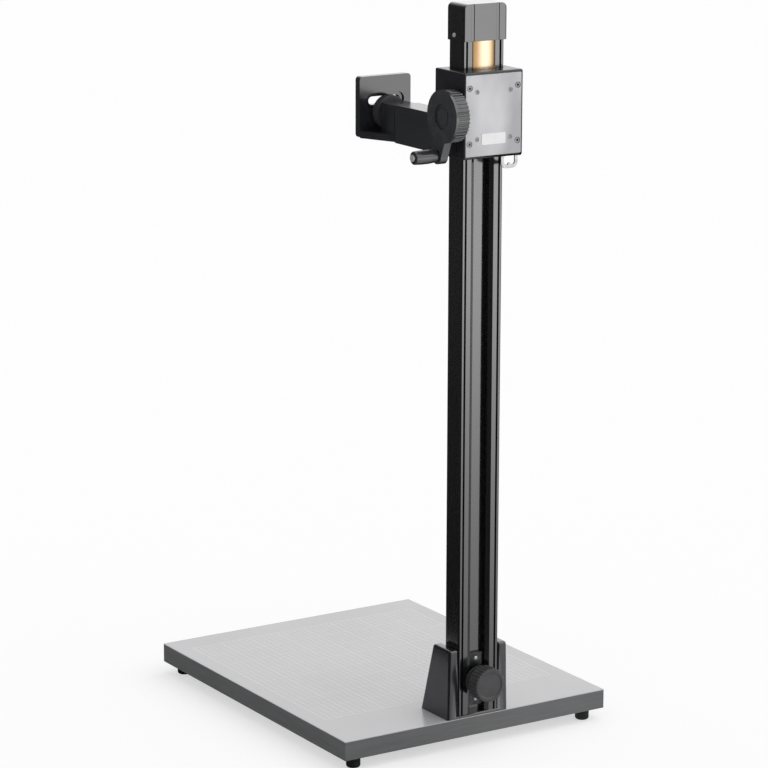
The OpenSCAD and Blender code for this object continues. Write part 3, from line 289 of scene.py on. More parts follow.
low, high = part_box("rubber_feet")
foot_r = 0.0115
foot_roll = 0.004
screw_hole_r = 0.0023
recess_r = 0.0046
recess_depth = 0.008
black_rubber = finish("black rubber", tone(24, 24, 25), tone(34, 34, 35), (90, 90, 90),
                      (1500, 1500, 1500), (0.55, 0.75), 0.00006, specular=0.35)
roll = [(foot_r - foot_roll + foot_roll * math.cos(math.radians(a)),
         foot_roll - foot_roll * math.sin(math.radians(a))) for a in range(15, 91, 15)]
foot_profile = [(screw_hole_r, recess_depth), (screw_hole_r, high.z), (foot_r, high.z),
                (foot_r, foot_roll), *roll, (recess_r, 0.0), (recess_r, recess_depth)]
feet = [turned(foot_profile, "z", (x, y, 0)) for x in (low.x + foot_r, high.x - foot_r)
        for y in (low.y + foot_r, high.y - foot_r)]
piece("rubber_feet_turned", gathered(feet), "stand", "black_rubber", black_rubber, "rubber_feet")
zinc_steel = finish("zinc plated steel", tone(168, 168, 166), tone(196, 196, 193), (120, 120, 120),
                    (1600, 1600, 1600), (0.24, 0.4), 0.00002, metal=1.0)
dress(zinc_steel, "foot_screws")


# The column foot is one black painted casting. Its two tapering cheeks hold the column
# between them, a web joins them in front, and bolts from below hold it to the board.

casting_edge = 0.0042
cheek_in = 0.03775
cheek_thick = 0.015
web_front = 0.02
base_rise = 0.008
skin = 0.001
casting_paint = finish("casting paint", tone(27, 27, 32), tone(34, 34, 39), (35, 35, 35),
                       (900, 900, 900), (0.18, 0.26), 0.00002, specular=0.6, coat=0.6)
low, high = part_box("column_foot")


def on_cheek_edge(middle):
    """Says whether a place is on a cheek's top, its outer side, or its front or rear edge."""
    if middle.z < low.z + base_rise or abs(middle.x) < cheek_in - skin:
        return False
    return (middle.z > high.z - skin or abs(middle.x) > cheek_in + cheek_thick
            or middle.y > high.y - skin or middle.y < low.y + web_front)


piece("column_foot_casting", ease(copied("column_foot"), casting_edge, 5, chosen=on_cheek_edge),
      "stand", "black_casting", casting_paint, "column_foot")
dark_steel = finish("blackened steel", tone(58, 59, 61), tone(78, 79, 81), (120, 120, 120),
                    (1600, 1600, 1600), (0.3, 0.46), 0.00002, metal=1.0)
dress(dark_steel, "foot_bolts")


# The column is an aluminium extrusion, 75 x 40 mm, brushed and anodised black. The die
# leaves faint lines along its whole length.

black_anodised = finish("black anodised", tone(17, 17, 18), tone(23, 23, 24), (240, 240, 3),
                        (600, 600, 14), (0.15, 0.18), 0.0000006, specular=1.0, coat=1.0)
dress(black_anodised, "column")


# The moulded cap closes the column's top and carries the tape's anchor. A slotted dome
# screw on each side goes into the column's walls.

def box_shape(low_corner, high_corner):
    """A plain block between two corners."""
    shape = bmesh.new()
    bmesh.ops.create_cube(shape, size=1.0)
    low_corner, high_corner = Vector(low_corner), Vector(high_corner)
    bmesh.ops.scale(shape, vec=high_corner - low_corner, verts=shape.verts)
    bmesh.ops.translate(shape, vec=(low_corner + high_corner) / 2, verts=shape.verts)
    return shape


def without(solid, cutter):
    """A solid less another one."""
    both = []
    for shape in (solid, cutter):
        mesh = bpy.data.meshes.new("cut")
        shape.to_mesh(mesh)
        shape.free()
        both.append(bpy.data.objects.new("cut", mesh))
        bpy.context.scene.collection.objects.link(both[-1])
    body, tool = both
    difference = body.modifiers.new("cut", "BOOLEAN")
    difference.operation = "DIFFERENCE"
    difference.solver = "EXACT"
    difference.object = tool
    bpy.context.view_layer.update()
    made = bmesh.new()
    made.from_object(body, bpy.context.evaluated_depsgraph_get())
    for held in both:
        mesh = held.data
        bpy.data.objects.remove(held)
        bpy.data.meshes.remove(mesh)
    bmesh.ops.remove_doubles(made, verts=made.verts, dist=1e-7)
    return made


cap_edge = 0.0008
cap_moulding = finish("cap moulding", tone(22, 22, 23), tone(28, 28, 29), (40, 40, 40),
                      (1400, 1400, 1400), (0.12, 0.2), 0.00002, specular=0.9, coat=0.8)
piece("column_cap_moulded", ease(copied("column_cap"), cap_edge, 3), "stand", "black_moulding",
      cap_moulding, "column_cap")

low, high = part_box("cap_screws")
head_r = (high.y - low.y) / 2
head_h = 0.0022
shank_r = 0.002
shank_len = 0.004
slot_half = 0.0005
slot_depth = 0.0012
slot_over = 0.001
screw_y = (low.y + high.y) / 2
screw_z = (low.z + high.z) / 2
bright_steel = finish("bright steel", tone(196, 196, 195), tone(222, 222, 221), (200, 200, 200),
                      (2200, 2200, 2200), (0.18, 0.3), 0.00001, metal=0.5, specular=0.9)
dome = [(0, high.x)]
dome += [(head_r * math.sin(math.radians(a)), high.x - head_h * (1 - math.cos(math.radians(a))))
         for a in range(15, 91, 15)]
dome += [(shank_r, high.x - head_h), (shank_r, high.x - head_h - shank_len),
         (0, high.x - head_h - shank_len)]
screws = []
for side in (1, -1):
    screw = turned([(r, side * h) for r, h in dome], "x", (0, screw_y, screw_z), 48)
    ends = sorted((side * (high.x - slot_depth), side * (high.x + slot_over)))
    slot = box_shape((ends[0], screw_y - slot_half, screw_z - head_r - slot_over),
                     (ends[1], screw_y + slot_half, screw_z + head_r + slot_over))
    screws.append(without(screw, slot))
piece("cap_dome_screws", gathered(screws), "stand", "bright_steel", bright_steel, "cap_screws")


# Under the cap a steel anchor, riveted to the tape's upper end, hooks the tape to the
# column. The tape is hardened spring steel, 41 x 0.3 mm, in an amber tone. Its colour
# carries a painted highlight, pale down its middle, and painted shade at its edges.

dress(zinc_steel, "tape_anchor", "anchor_screws", "tape_rivets")
low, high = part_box("spring_tape")
tape_y = (low.y + high.y) / 2
tape_bow = 0.0016
tape_thin = 0.0003
tape_columns = 28
tape_rows = 40
amber_steel = finish("amber spring steel", tone(196, 178, 152), tone(208, 192, 166), (60, 60, 12),
                     (2600, 2600, 60), (0.16, 0.26), 0.00001, metal=1.0)
tree = amber_steel.node_tree
place = tree.nodes["Texture Coordinate"]
axes = tree.nodes.new("ShaderNodeSeparateXYZ")
across = tree.nodes.new("ShaderNodeMapRange")
across.inputs["From Min"].default_value = low.x
across.inputs["From Max"].default_value = high.x
# The ramp across the tape paints a pale highlight down its middle and paints shade in amber and brown
# towards both edges, deeper on the right side.
pale = (1.0, 1.0, 1.0, 1.0)
amber = (0.50, 0.39, 0.27, 1.0)
left_painted_shade = (0.40, 0.30, 0.19, 1.0)
right_painted_shade = (0.36, 0.27, 0.18, 1.0)
sheen_and_shade_stops = [(0.0, left_painted_shade), (0.14, amber), (0.40, pale),
                (0.58, pale), (0.84, amber), (1.0, right_painted_shade)]
painted_sheen_ramp = tree.nodes.new("ShaderNodeValToRGB")
stops = painted_sheen_ramp.color_ramp.elements
while len(stops) < len(sheen_and_shade_stops):
    stops.new(0.5)
for stop, (position, colour) in zip(stops, sheen_and_shade_stops):
    stop.position = position
    stop.color = colour
tint = tree.nodes.new("ShaderNodeMix")
tint.data_type = "RGBA"
tint.blend_type = "MULTIPLY"
tint.inputs["Factor"].default_value = 1.0
tree.links.new(place.outputs["Object"], axes.inputs["Vector"])
tree.links.new(axes.outputs["X"], across.inputs["Value"])
tree.links.new(across.outputs["Result"], painted_sheen_ramp.inputs["Fac"])
tree.links.new(tree.nodes["tones"].outputs["Color"], tint.inputs["A"])
tree.links.new(painted_sheen_ramp.outputs["Color"], tint.inputs["B"])
tree.links.new(tint.outputs["Result"], tree.nodes["Principled BSDF"].inputs["Base Color"])
tape_wide = high.x - low.x
tape_high = high.z - low.z
strip = bmesh.new()
bmesh.ops.create_grid(strip, x_segments=tape_columns, y_segments=tape_rows, size=0.5)
bmesh.ops.scale(strip, vec=(tape_wide, tape_high, 1), verts=strip.verts)
bmesh.ops.rotate(strip, cent=(0, 0, 0), matrix=Matrix.Rotation(math.radians(90), 3, "X"),
                 verts=strip.verts)
for v in strip.verts:
    v.co.y += tape_bow * (1 - (2 * v.co.x / tape_wide) ** 4) - tape_bow / 2
bmesh.ops.translate(strip, vec=(0, tape_y, (low.z + high.z) / 2), verts=strip.verts)
bmesh.ops.solidify(strip, geom=strip.faces, thickness=tape_thin)
tape = piece("amber_tape", strip, None, "amber_steel", amber_steel, "spring_tape")
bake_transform(tape)


# A plate in the rear channel takes the clamping knob's stud. Two bright cross-head
# screws hold it, one above and one below the knob.

def cross_head(centre, axis, side, head_r, head_h, shank_r, shank_len, domed=True):
    """A screw whose head's outer end is at centre, with a cross recess in it."""
    flat_rise = 0.0002
    cutter_over = 0.002
    rise = head_h if domed else flat_rise
    rim = [(head_r * math.sin(math.radians(a)), -rise * (1 - math.cos(math.radians(a))))
           for a in range(18, 91, 18)]
    chain = [(0, 0)] + rim + [(shank_r, -head_h), (shank_r, -head_h - shank_len),
                              (0, -head_h - shank_len)]
    screw = turned([(r, side * h) for r, h in chain], axis, centre, 40)
    arm = head_r * 0.62
    half = head_r * 0.13
    deep = head_h * 0.55
    for long, wide in ((arm, half), (half, arm)):
        low_c, high_c = [0.0] * 3, [0.0] * 3
        index = "xyz".index(axis)
        others = [i for i in range(3) if i != index]
        for i, reach in zip(others, (long, wide)):
            low_c[i], high_c[i] = centre[i] - reach, centre[i] + reach
        ends = sorted((centre[index] - side * deep, centre[index] + side * cutter_over))
        low_c[index], high_c[index] = ends
        screw = without(screw, box_shape(low_c, high_c))
    return screw


low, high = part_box("channel_plate_screws")
head_r = (high.x - low.x) / 2
head_h = 0.002
shank_r = 0.0019
shank_len = 0.004
screws = [cross_head((0, high.y, z), "y", 1, head_r, head_h, shank_r, shank_len)
          for z in (low.z + head_r, high.z - head_r)]
piece("channel_screws", gathered(screws), "stand", "bright_steel", bright_steel,
      "channel_plate_screws")
dress(dark_steel, "channel_plate")


# The clamping knob is moulded in dark glass-filled plastic, with thirty scallops for the
# hand and a shallow dish in its face. Its steel stud presses a plate against the column.

def groove(shape, axis, centre, count, depth, from_r, taper):
    """Presses even grooves into a turned shape's rim, outside a radius. A small taper makes
    wide grooves."""
    index = "xyz".index(axis)
    first, second = [i for i in range(3) if i != index]
    for v in shape.verts:
        a, b = v.co[first] - centre[first], v.co[second] - centre[second]
        r = math.hypot(a, b)
        if r < from_r:
            continue
        wave = max(0.0, math.cos(count * math.atan2(b, a))) ** taper
        scale = (r - depth * wave * min(1.0, (r - from_r) / depth)) / r
        v.co[first], v.co[second] = centre[first] + a * scale, centre[second] + b * scale
    return shape


def rounded_profile(points, radius, steps=4):
    """A profile with its corners rounded, save the ones on the axis and at its ends."""
    most = 0.45
    made = []
    for i, point in enumerate(points):
        here = Vector(point)
        if i in (0, len(points) - 1) or here.x == 0:
            made.append(tuple(here))
            continue
        back, on = Vector(points[i - 1]) - here, Vector(points[i + 1]) - here
        reach = min(radius, back.length * most, on.length * most)
        start, end = here + back.normalized() * reach, here + on.normalized() * reach
        for k in range(steps + 1):
            t = k / steps
            made.append(tuple(start * (1 - t) ** 2 + here * 2 * t * (1 - t) + end * t ** 2))
    return made


low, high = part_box("clamping_knob")
knob_r = (high.z - low.z) / 2
knob_hub_r = 0.015
knob_back = low.y
knob_grip_back = knob_back + 0.009
knob_dish_r = knob_r * 0.78
knob_dish = 0.0015
knob_dish_slope = 0.0012
knob_round = 0.0022
knob_scallops = 30
knob_scallop_depth = 0.0013
knob_scallop_from = knob_r * 0.86
knob_scallop_taper = 0.7
knob_centre = (0, 0, (low.z + high.z) / 2)
knob_plastic = finish("knob plastic", tone(60, 60, 62), tone(68, 68, 70), (60, 60, 60),
                      (2200, 2200, 2200), (0.42, 0.56), 0.00004)
profile = rounded_profile([(0, knob_back), (knob_hub_r, knob_back), (knob_hub_r, knob_grip_back),
                           (knob_r, knob_grip_back), (knob_r, high.y), (knob_dish_r, high.y),
                           (knob_dish_r - knob_dish_slope, high.y - knob_dish),
                           (0, high.y - knob_dish)], knob_round)
knob = turned(profile, "y", knob_centre, 240)
groove(knob, "y", knob_centre, knob_scallops, knob_scallop_depth, knob_scallop_from,
       knob_scallop_taper)
piece("scalloped_knob", knob, "foot_knob", "dark_moulding", knob_plastic, "clamping_knob")
dress(knob_plastic, "knob_washer")
dress(zinc_steel, "knob_stud")


# The carriage's housing is a box of black painted aluminium that slides on the column.
# Its cover's screws and the rollers' bolts go into it from behind.

housing_edge = 0.0029
housing_corner = 0.0035
low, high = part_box("carriage_housing")


def on_outer_edge(middle):
    """Says whether a place lies where two of the housing's outer faces meet."""
    near = [min(abs(middle[i] - low[i]), abs(middle[i] - high[i])) < housing_corner for i in range(3)]
    return sum(near) >= 2


housing_paint = finish("housing paint", tone(34, 34, 39), tone(41, 41, 46), (40, 40, 40),
                       (1100, 1100, 1100), (0.18, 0.28), 0.00002, specular=0.4, coat=0.15)
piece("carriage_box", ease(copied("carriage_housing"), housing_edge, 4, 30.0, chosen=on_outer_edge),
      "carriage", "black_casting", housing_paint, "carriage_housing")


# The rear cover is a 2.5 mm aluminium plate, blasted and clear anodised. It carries a
# white plastic label, which is left bare.

cover_edge = 0.0004
label_edge = 0.0002
silver_plate = finish("silver plate", tone(148, 148, 151), tone(186, 186, 189), (9, 9, 5),
                      (2600, 2600, 2600), (0.34, 0.44), 0.00002, metal=0.6)
piece("silver_cover", ease(copied("rear_cover"), cover_edge, 2), "carriage", "silver_plate",
      silver_plate, "rear_cover")
white_plastic = finish("white label", tone(246, 246, 246), tone(251, 251, 251), (80, 80, 80),
                       (1600, 1600, 1600), (0.3, 0.45), 0.00001)
piece("bare_label", ease(copied("blank_label"), label_edge, 2), "carriage", "white_label",
      white_plastic, "blank_label")


# Four flush cross-head screws hold the cover, and four socket-head bolts in bored
# recesses are the axles of the side rollers.

low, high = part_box("cover_screws")
head_r = 0.0035
head_h = 0.002
shank_r = 0.0018
shank_len = 0.006
screws = [cross_head((x, high.y, z), "y", 1, head_r, head_h, shank_r, shank_len, domed=False)
          for x in (low.x + head_r, high.x - head_r) for z in (low.z + head_r, high.z - head_r)]
screw_zinc = finish("dull zinc", tone(112, 112, 114), tone(132, 132, 134), (200, 200, 200),
                    (1900, 1900, 1900), (0.26, 0.38), 0.00002, metal=1.0)
piece("flush_screws", gathered(screws), "carriage", "steel", screw_zinc, "cover_screws")

low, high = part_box("roller_bolts")
head_r = 0.00425
head_h = 0.005
head_round = 0.0005
axle_r = 0.0025
socket_r = 0.0023
bolt_profile = rounded_profile([(0, high.y), (head_r, high.y), (head_r, high.y - head_h),
                                (axle_r, high.y - head_h), (axle_r, low.y), (0, low.y)], head_round)
bolts = []
for x in (low.x + head_r, high.x - head_r):
    for z in (low.z + head_r, high.z - head_r):
        bolt = turned(bolt_profile, "y", (x, 0, z), 48)
        socket = bmesh.new()
        bmesh.ops.create_cone(socket, cap_ends=True, segments=6, radius1=socket_r,
                              radius2=socket_r, depth=head_h)
        bmesh.ops.rotate(socket, cent=(0, 0, 0), matrix=Matrix.Rotation(math.radians(90), 3, "X"),
                         verts=socket.verts)
        bmesh.ops.translate(socket, vec=(x, high.y, z), verts=socket.verts)
        bolts.append(without(bolt, socket))
piece("axle_bolts", gathered(bolts), "carriage", "bright_steel", screw_zinc, "roller_bolts")


# Inside the carriage: nylon rollers and pads that run on the column, steel bearing
# plates with bronze bushes, and the drum that winds the tape.

pale_nylon = finish("pale nylon", tone(214, 210, 196), tone(226, 222, 209), (90, 90, 90),
                    (1300, 1300, 1300), (0.4, 0.55), 0.00004)
dress(pale_nylon, "upper_right_roller", "lower_right_roller", "upper_left_roller",
      "lower_left_roller", "front_glide_pads", "rear_glide_pads")
dress(zinc_steel, "roller_spacers", "right_bearing_plate", "left_bearing_plate", "drum_axle")
bush_bronze = finish("bush bronze", tone(176, 128, 74), tone(196, 150, 92), (200, 200, 200),
                     (1800, 1800, 1800), (0.28, 0.42), 0.00002, metal=1.0)
dress(bush_bronze, "shaft_bushes")
dark_moulding = finish("dark moulding", tone(50, 50, 52), tone(60, 60, 62), (60, 60, 60),
                       (2000, 2000, 2000), (0.45, 0.6), 0.00004)
dress(dark_moulding, "spring_drum")
dress(amber_steel, "spring_coil")


# A loop of grey plated steel under the carriage keeps a cable clear of the crank. It is
# stamped from strip, tumbled smooth and pinned into the housing's floor.

loop_edge = 0.0008
loop_steel = finish("loop steel", tone(148, 148, 147), tone(168, 168, 167), (150, 150, 150),
                    (1700, 1700, 1700), (0.26, 0.4), 0.00002, metal=1.0)
piece("cable_loop_bent", ease(copied("cable_loop"), loop_edge, 3), "carriage", "grey_metal",
      loop_steel, "cable_loop")


# The crank's shaft drives two rubber-tyred rollers on the column's rear face, and a
# fibre washer between wheel and housing keeps the carriage from running down.

dress(zinc_steel, "crank_shaft")
dress(dark_steel, "shaft_collar")
tyre_rubber = finish("tyre rubber", tone(38, 36, 34), tone(48, 46, 44), (150, 150, 150),
                     (1500, 1500, 1500), (0.6, 0.8), 0.00006)
dress(tyre_rubber, "drive_rollers")
brown_fibre = finish("brown fibre", tone(96, 70, 48), tone(118, 90, 64), (500, 500, 500),
                     (1600, 1600, 1600), (0.7, 0.85), 0.00008)
dress(brown_fibre, "friction_washer")


# The crank wheel is moulded in dark plastic: a ribbed rim behind a smooth disc, a dished
# middle, and an arm whose boss takes the grip. A cap over the shaft's screw fills the dish.

wheel_edge = 0.0007
wheel_plastic = finish("wheel plastic", tone(50, 51, 53), tone(58, 59, 61), (60, 60, 60),
                       (2200, 2200, 2200), (0.16, 0.24), 0.00002, specular=0.9)
piece("ribbed_crank_wheel", ease(copied("crank_wheel"), wheel_edge, 2, 50.0), "drive",
      "dark_moulding", wheel_plastic, "crank_wheel")
low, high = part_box("hub_cap")
cap_r = (high.z - low.z) / 2
cap_crown = 0.0006
cap_round = 0.0012
cap_centre = (0, (low.y + high.y) / 2, (low.z + high.z) / 2)
profile = rounded_profile([(0, low.x), (cap_r, low.x), (cap_r, high.x - cap_crown), (0, high.x)],
                          cap_round)
piece("shaft_cap", turned(profile, "x", cap_centre, 64), "drive", "dark_moulding", dark_moulding,
      "hub_cap")


# The grip is a glossy black barrel that spins on a steel spindle. The spindle's slotted
# head shows in the grip's end.

grip_gloss = finish("grip gloss", tone(46, 46, 48), tone(54, 54, 56), (60, 60, 60),
                    (1800, 1800, 1800), (0.2, 0.28), 0.00002, specular=0.9)
low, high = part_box("crank_grip")
grip_r = (high.z - low.z) / 2
grip_centre = (0, (low.y + high.y) / 2, (low.z + high.z) / 2)
bore_r = 0.0043
sink_r = 0.0075
sink_depth = 0.0025
grip_neck = grip_r * 0.86
grip_end = grip_r * 0.94
grip_chamfer = 0.001
grip_round = 0.003
length = high.x - low.x
barrel = [(bore_r, low.x), (grip_neck, low.x), (grip_r, low.x + length * 0.35),
          (grip_r, low.x + length * 0.7), (grip_end, high.x - grip_chamfer), (sink_r, high.x),
          (sink_r, high.x - sink_depth), (bore_r, high.x - sink_depth)]
piece("barrel_grip", turned(rounded_profile(barrel, grip_round), "x", grip_centre, 64), "crank_handle",
      "dark_moulding", grip_gloss, "crank_grip")
dress(bright_steel, "grip_spindle")


# The arm is a black painted box section, bolted to the housing through a block in its
# root. A block in its front end holds the pivot of the camera bracket.

arm_edge = 0.0016
arm_paint = finish("arm paint", tone(38, 39, 44), tone(45, 46, 51), (25, 8, 25),
                   (1100, 1100, 1100), (0.2, 0.3), 0.00002, specular=0.7, coat=0.5)
piece("arm_box", ease(copied("arm_tube"), arm_edge, 3), "carriage", "arm_paint", arm_paint,
      "arm_tube")
dress(silver_plate, "arm_root_block", "arm_end_block")
dress(dark_steel, "arm_bolts")
dress(brown_fibre, "friction_ring")


# The camera bracket is a black painted casting: an upright plate with a recessed slot,
# a floor that tapers back, and a block that tilts on the pivot. A rubber pad is glued to
# the plate's front.

bracket_edge = 0.0012
pad_edge = 0.0004
bracket_paint = finish("bracket paint", tone(33, 34, 37), tone(39, 40, 43), (40, 40, 40),
                       (1100, 1100, 1100), (0.16, 0.24), 0.00002, specular=0.7, coat=0.5)
piece("camera_bracket_casting", ease(copied("camera_bracket"), bracket_edge, 3), "head",
      "black_casting", bracket_paint, "camera_bracket")
dress(zinc_steel, "pivot_spigot", "screw_washer")
pad_rubber = finish("pad rubber", tone(28, 28, 29), tone(38, 38, 39), (90, 90, 90),
                    (60, 60, 1400), (0.6, 0.78), 0.00012, specular=0.35)
piece("ribbed_pad", ease(copied("camera_pad"), pad_edge, 2), "head", "black_rubber", pad_rubber,
      "camera_pad")


# The camera screw is a quarter-inch steel screw with twenty threads to the inch, turned
# by a knurled wheel between the plate and the block.

low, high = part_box("screw_wheel")
wheel_r = (high.z - low.z) / 2
wheel_bore_r = 0.0027
wheel_round = 0.0018
wheel_knurls = 60
wheel_knurl_depth = 0.0007
wheel_knurl_from = wheel_r * 0.93
wheel_knurl_taper = 0.6
wheel_centre = (0, 0, (low.z + high.z) / 2)
profile = rounded_profile([(wheel_bore_r, low.y), (wheel_r, low.y), (wheel_r, high.y),
                           (wheel_bore_r, high.y)], wheel_round)
wheel = turned(profile, "y", wheel_centre, 480)
groove(wheel, "y", wheel_centre, wheel_knurls, wheel_knurl_depth, wheel_knurl_from,
       wheel_knurl_taper)
piece("knurled_screw_wheel", wheel, "screw", "dark_moulding", dark_moulding, "screw_wheel")

low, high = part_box("camera_screw")
thread_pitch = 0.00127
thread_r = 0.003175
thread_root_r = 0.00255
thread_sunk_in = 0.0002
thread_sunk_r = thread_root_r - thread_sunk_in
thread_half = thread_pitch * 0.48
turn_steps = 24
screw_tip = 0.0008
screw_centre = (0, 0, (low.z + high.z) / 2)
turns = int((high.y - low.y - screw_tip) / thread_pitch)
thread = bmesh.new()
crest = [thread.verts.new((r, low.y + screw_tip + thread_half + h, 0))
         for r, h in ((thread_sunk_r, -thread_half), (thread_r, 0), (thread_sunk_r, thread_half))]
flanks = [thread.edges.new(pair) for pair in zip(crest, crest[1:] + crest[:1])]
bmesh.ops.spin(thread, geom=crest + flanks, cent=(0, 0, 0), axis=(0, 1, 0),
               dvec=(0, thread_pitch / turn_steps, 0), angle=turns * 2 * math.pi,
               steps=turns * turn_steps, use_merge=False, use_duplicate=False)
bmesh.ops.holes_fill(thread, edges=thread.edges, sides=3)
bmesh.ops.translate(thread, vec=screw_centre, verts=thread.verts)
core = turned([(0, low.y), (thread_root_r - screw_tip / 2, low.y), (thread_root_r, low.y + screw_tip),
               (thread_root_r, high.y), (0, high.y)], "y", screw_centre, 48)
piece("threaded_camera_screw", gathered([thread, core]), "screw", "steel", zinc_steel, "camera_screw")


# The studio's floor is a pale sheet that keeps the object's shadow. Glossy surfaces see it
# as a lit sheet instead, bright far off to the rear and the user's left, dark elsewhere.

floor_reach = 60.0
floor_white = 0.97
floor_glow = 0.56
floor_shade = 0.5
near_reach = 0.4
near_light = 0.8
far_reach = 4.2
far_light = 2.6
dark_light = 0.02
bright_way = (-0.40, 0.917, 0.0)
dark_within = 0.78
floor = bmesh.new()
bmesh.ops.create_grid(floor, x_segments=1, y_segments=1, size=floor_reach)
floor_mesh = bpy.data.meshes.new("studio_floor")
floor.to_mesh(floor_mesh)
floor.free()
floor_object = bpy.data.objects.new("studio_floor", floor_mesh)
bpy.context.scene.collection.objects.link(floor_object)
floor_object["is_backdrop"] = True

floor_paint = bpy.data.materials.new("studio floor")
floor_paint.use_nodes = True
tree = floor_paint.node_tree
tree.nodes.clear()
output = tree.nodes.new("ShaderNodeOutputMaterial")
white = tree.nodes.new("ShaderNodeBsdfDiffuse")
white.inputs["Color"].default_value = (floor_white, floor_white, floor_white, 1)
place = tree.nodes.new("ShaderNodeTexCoord")
away = tree.nodes.new("ShaderNodeVectorMath")
away.operation = "LENGTH"
tree.links.new(place.outputs["Object"], away.inputs[0])
far = tree.nodes.new("ShaderNodeMapRange")
far.inputs["From Min"].default_value = near_reach
far.inputs["From Max"].default_value = far_reach
far.inputs["To Min"].default_value = near_light
far.inputs["To Max"].default_value = far_light
tree.links.new(away.outputs["Value"], far.inputs["Value"])
turned_to = tree.nodes.new("ShaderNodeVectorMath")
turned_to.operation = "NORMALIZE"
tree.links.new(place.outputs["Object"], turned_to.inputs[0])
beside = tree.nodes.new("ShaderNodeVectorMath")
beside.operation = "DOT_PRODUCT"
beside.inputs[1].default_value = bright_way
tree.links.new(turned_to.outputs["Vector"], beside.inputs[0])
dark_half = tree.nodes.new("ShaderNodeMapRange")
dark_half.interpolation_type = "SMOOTHSTEP"
dark_half.inputs["From Min"].default_value = dark_within
dark_half.inputs["From Max"].default_value = 1.0
dark_half.inputs["To Min"].default_value = dark_light
dark_half.inputs["To Max"].default_value = 1.0
tree.links.new(beside.outputs["Value"], dark_half.inputs["Value"])
strength = tree.nodes.new("ShaderNodeMath")
strength.operation = "MULTIPLY"
tree.links.new(far.outputs["Result"], strength.inputs[0])
tree.links.new(dark_half.outputs["Result"], strength.inputs[1])
sheet = tree.nodes.new("ShaderNodeEmission")
tree.links.new(strength.outputs["Value"], sheet.inputs["Strength"])
rays = tree.nodes.new("ShaderNodeLightPath")
mirrored = tree.nodes.new("ShaderNodeMixShader")
tree.links.new(rays.outputs["Is Glossy Ray"], mirrored.inputs["Fac"])
tree.links.new(white.outputs["BSDF"], mirrored.inputs[1])
tree.links.new(sheet.outputs["Emission"], mirrored.inputs[2])
own_white = tree.nodes.new("ShaderNodeEmission")
own_white.inputs["Strength"].default_value = floor_glow
half_white = tree.nodes.new("ShaderNodeBsdfDiffuse")
half_white.inputs["Color"].default_value = (floor_shade, floor_shade, floor_shade, 1)
shown = tree.nodes.new("ShaderNodeAddShader")
tree.links.new(own_white.outputs["Emission"], shown.inputs[0])
tree.links.new(half_white.outputs["BSDF"], shown.inputs[1])
seen = tree.nodes.new("ShaderNodeMixShader")
tree.links.new(rays.outputs["Is Camera Ray"], seen.inputs["Fac"])
tree.links.new(mirrored.outputs["Shader"], seen.inputs[1])
tree.links.new(shown.outputs["Shader"], seen.inputs[2])
tree.links.new(seen.outputs["Shader"], output.inputs["Surface"])
floor_mesh.materials.append(floor_paint)


# The surround fills the shadows evenly and is plain white behind the object. Glossy
# surfaces see it bright on the user's left and dark on the right.

fill_light = 0.56
dark_glow = 0.05
bright_glow = 1.3
glow_from = -0.25
glow_to = 0.6
bright_side = Vector((-1.0, 0.1, 0.3)).normalized()
surround = bpy.data.worlds.new("studio surround")
surround.use_nodes = True
bpy.context.scene.world = surround
tree = surround.node_tree
tree.nodes.clear()
output = tree.nodes.new("ShaderNodeOutputWorld")
rays = tree.nodes.new("ShaderNodeLightPath")
place = tree.nodes.new("ShaderNodeTexCoord")
facing = tree.nodes.new("ShaderNodeVectorMath")
facing.operation = "DOT_PRODUCT"
facing.inputs[1].default_value = bright_side
tree.links.new(place.outputs["Generated"], facing.inputs[0])
glow = tree.nodes.new("ShaderNodeMapRange")
glow.interpolation_type = "SMOOTHSTEP"
glow.inputs["From Min"].default_value = glow_from
glow.inputs["From Max"].default_value = glow_to
glow.inputs["To Min"].default_value = dark_glow
glow.inputs["To Max"].default_value = bright_glow
tree.links.new(facing.outputs["Value"], glow.inputs["Value"])
shades = {}
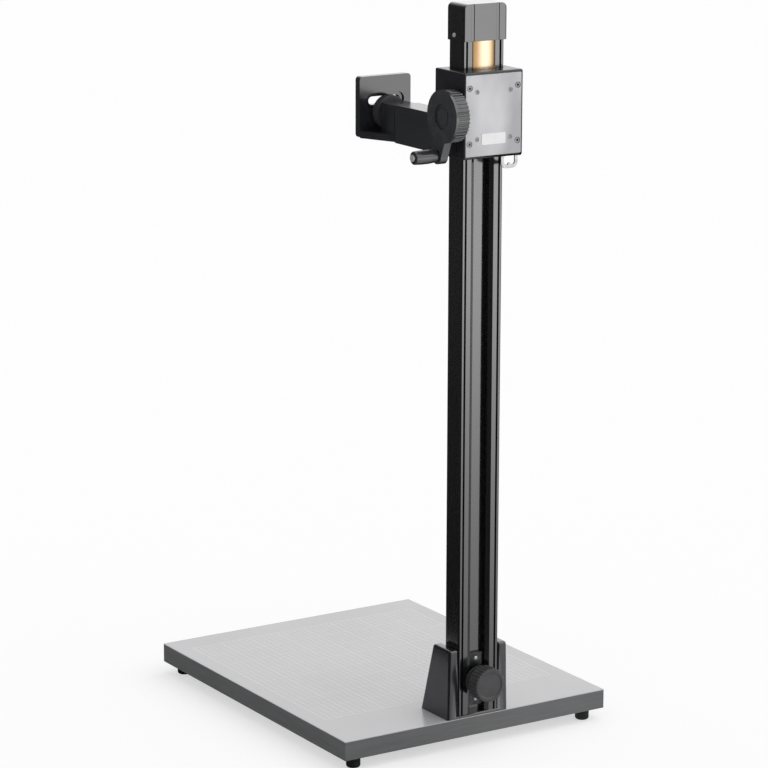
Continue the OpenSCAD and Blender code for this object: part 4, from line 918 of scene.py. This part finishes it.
for name, strength in (("fill", fill_light), ("mirror", 1.0), ("seen", 1.0)):
    shades[name] = tree.nodes.new("ShaderNodeBackground")
    shades[name].inputs["Strength"].default_value = strength
    shades[name].inputs["Color"].default_value = (1, 1, 1, 1)
tree.links.new(glow.outputs["Result"], shades["mirror"].inputs["Strength"])
for_gloss = tree.nodes.new("ShaderNodeMixShader")
tree.links.new(rays.outputs["Is Glossy Ray"], for_gloss.inputs["Fac"])
tree.links.new(shades["fill"].outputs["Background"], for_gloss.inputs[1])
tree.links.new(shades["mirror"].outputs["Background"], for_gloss.inputs[2])
for_camera = tree.nodes.new("ShaderNodeMixShader")
tree.links.new(rays.outputs["Is Camera Ray"], for_camera.inputs["Fac"])
tree.links.new(for_gloss.outputs["Shader"], for_camera.inputs[1])
tree.links.new(shades["seen"].outputs["Background"], for_camera.inputs[2])
tree.links.new(for_camera.outputs["Shader"], output.inputs["Surface"])


# One very soft lamp hangs high up, to the rear and the user's left. Its wide spread keeps
# every shadow soft.

key_from = Vector((-0.55, 0.35, 1.0))
key_power = 1.1
key_spread = math.radians(80)
key = bpy.data.lights.new("soft_key", "SUN")
key.energy = key_power
key.angle = key_spread
key_lamp = bpy.data.objects.new("soft_key", key)
key_lamp.rotation_mode = "QUATERNION"
key_lamp.rotation_quaternion = key_from.to_track_quat("Z", "Y")
bpy.context.scene.collection.objects.link(key_lamp)


# The camera stands where the photograph was taken from. Its place, its turn and its lens
# come from a fit to the board's and the column's edges.

stands_at = (2.81607, 4.47314, 1.78203)
lens_mm = 154.574
sensor_mm = 36.0
right = Vector((-0.847131, 0.53138, 0.002229))
up = Vector((-0.119242, -0.194182, 0.973691))
ahead = Vector((-0.517832, -0.824578, -0.22786))
lens = bpy.data.cameras.new("photo_camera")
lens.lens = lens_mm
lens.sensor_width = sensor_mm
lens.clip_start = 0.1
lens.clip_end = 200.0
camera = bpy.data.objects.new("photo_camera", lens)
camera_turn = Matrix((right, up, -ahead)).transposed().to_4x4()
camera.matrix_world = Matrix.Translation(stands_at) @ camera_turn
bpy.context.scene.collection.objects.link(camera)
bpy.context.scene.camera = camera
bpy.context.scene.view_settings.view_transform = "Standard"

low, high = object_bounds()
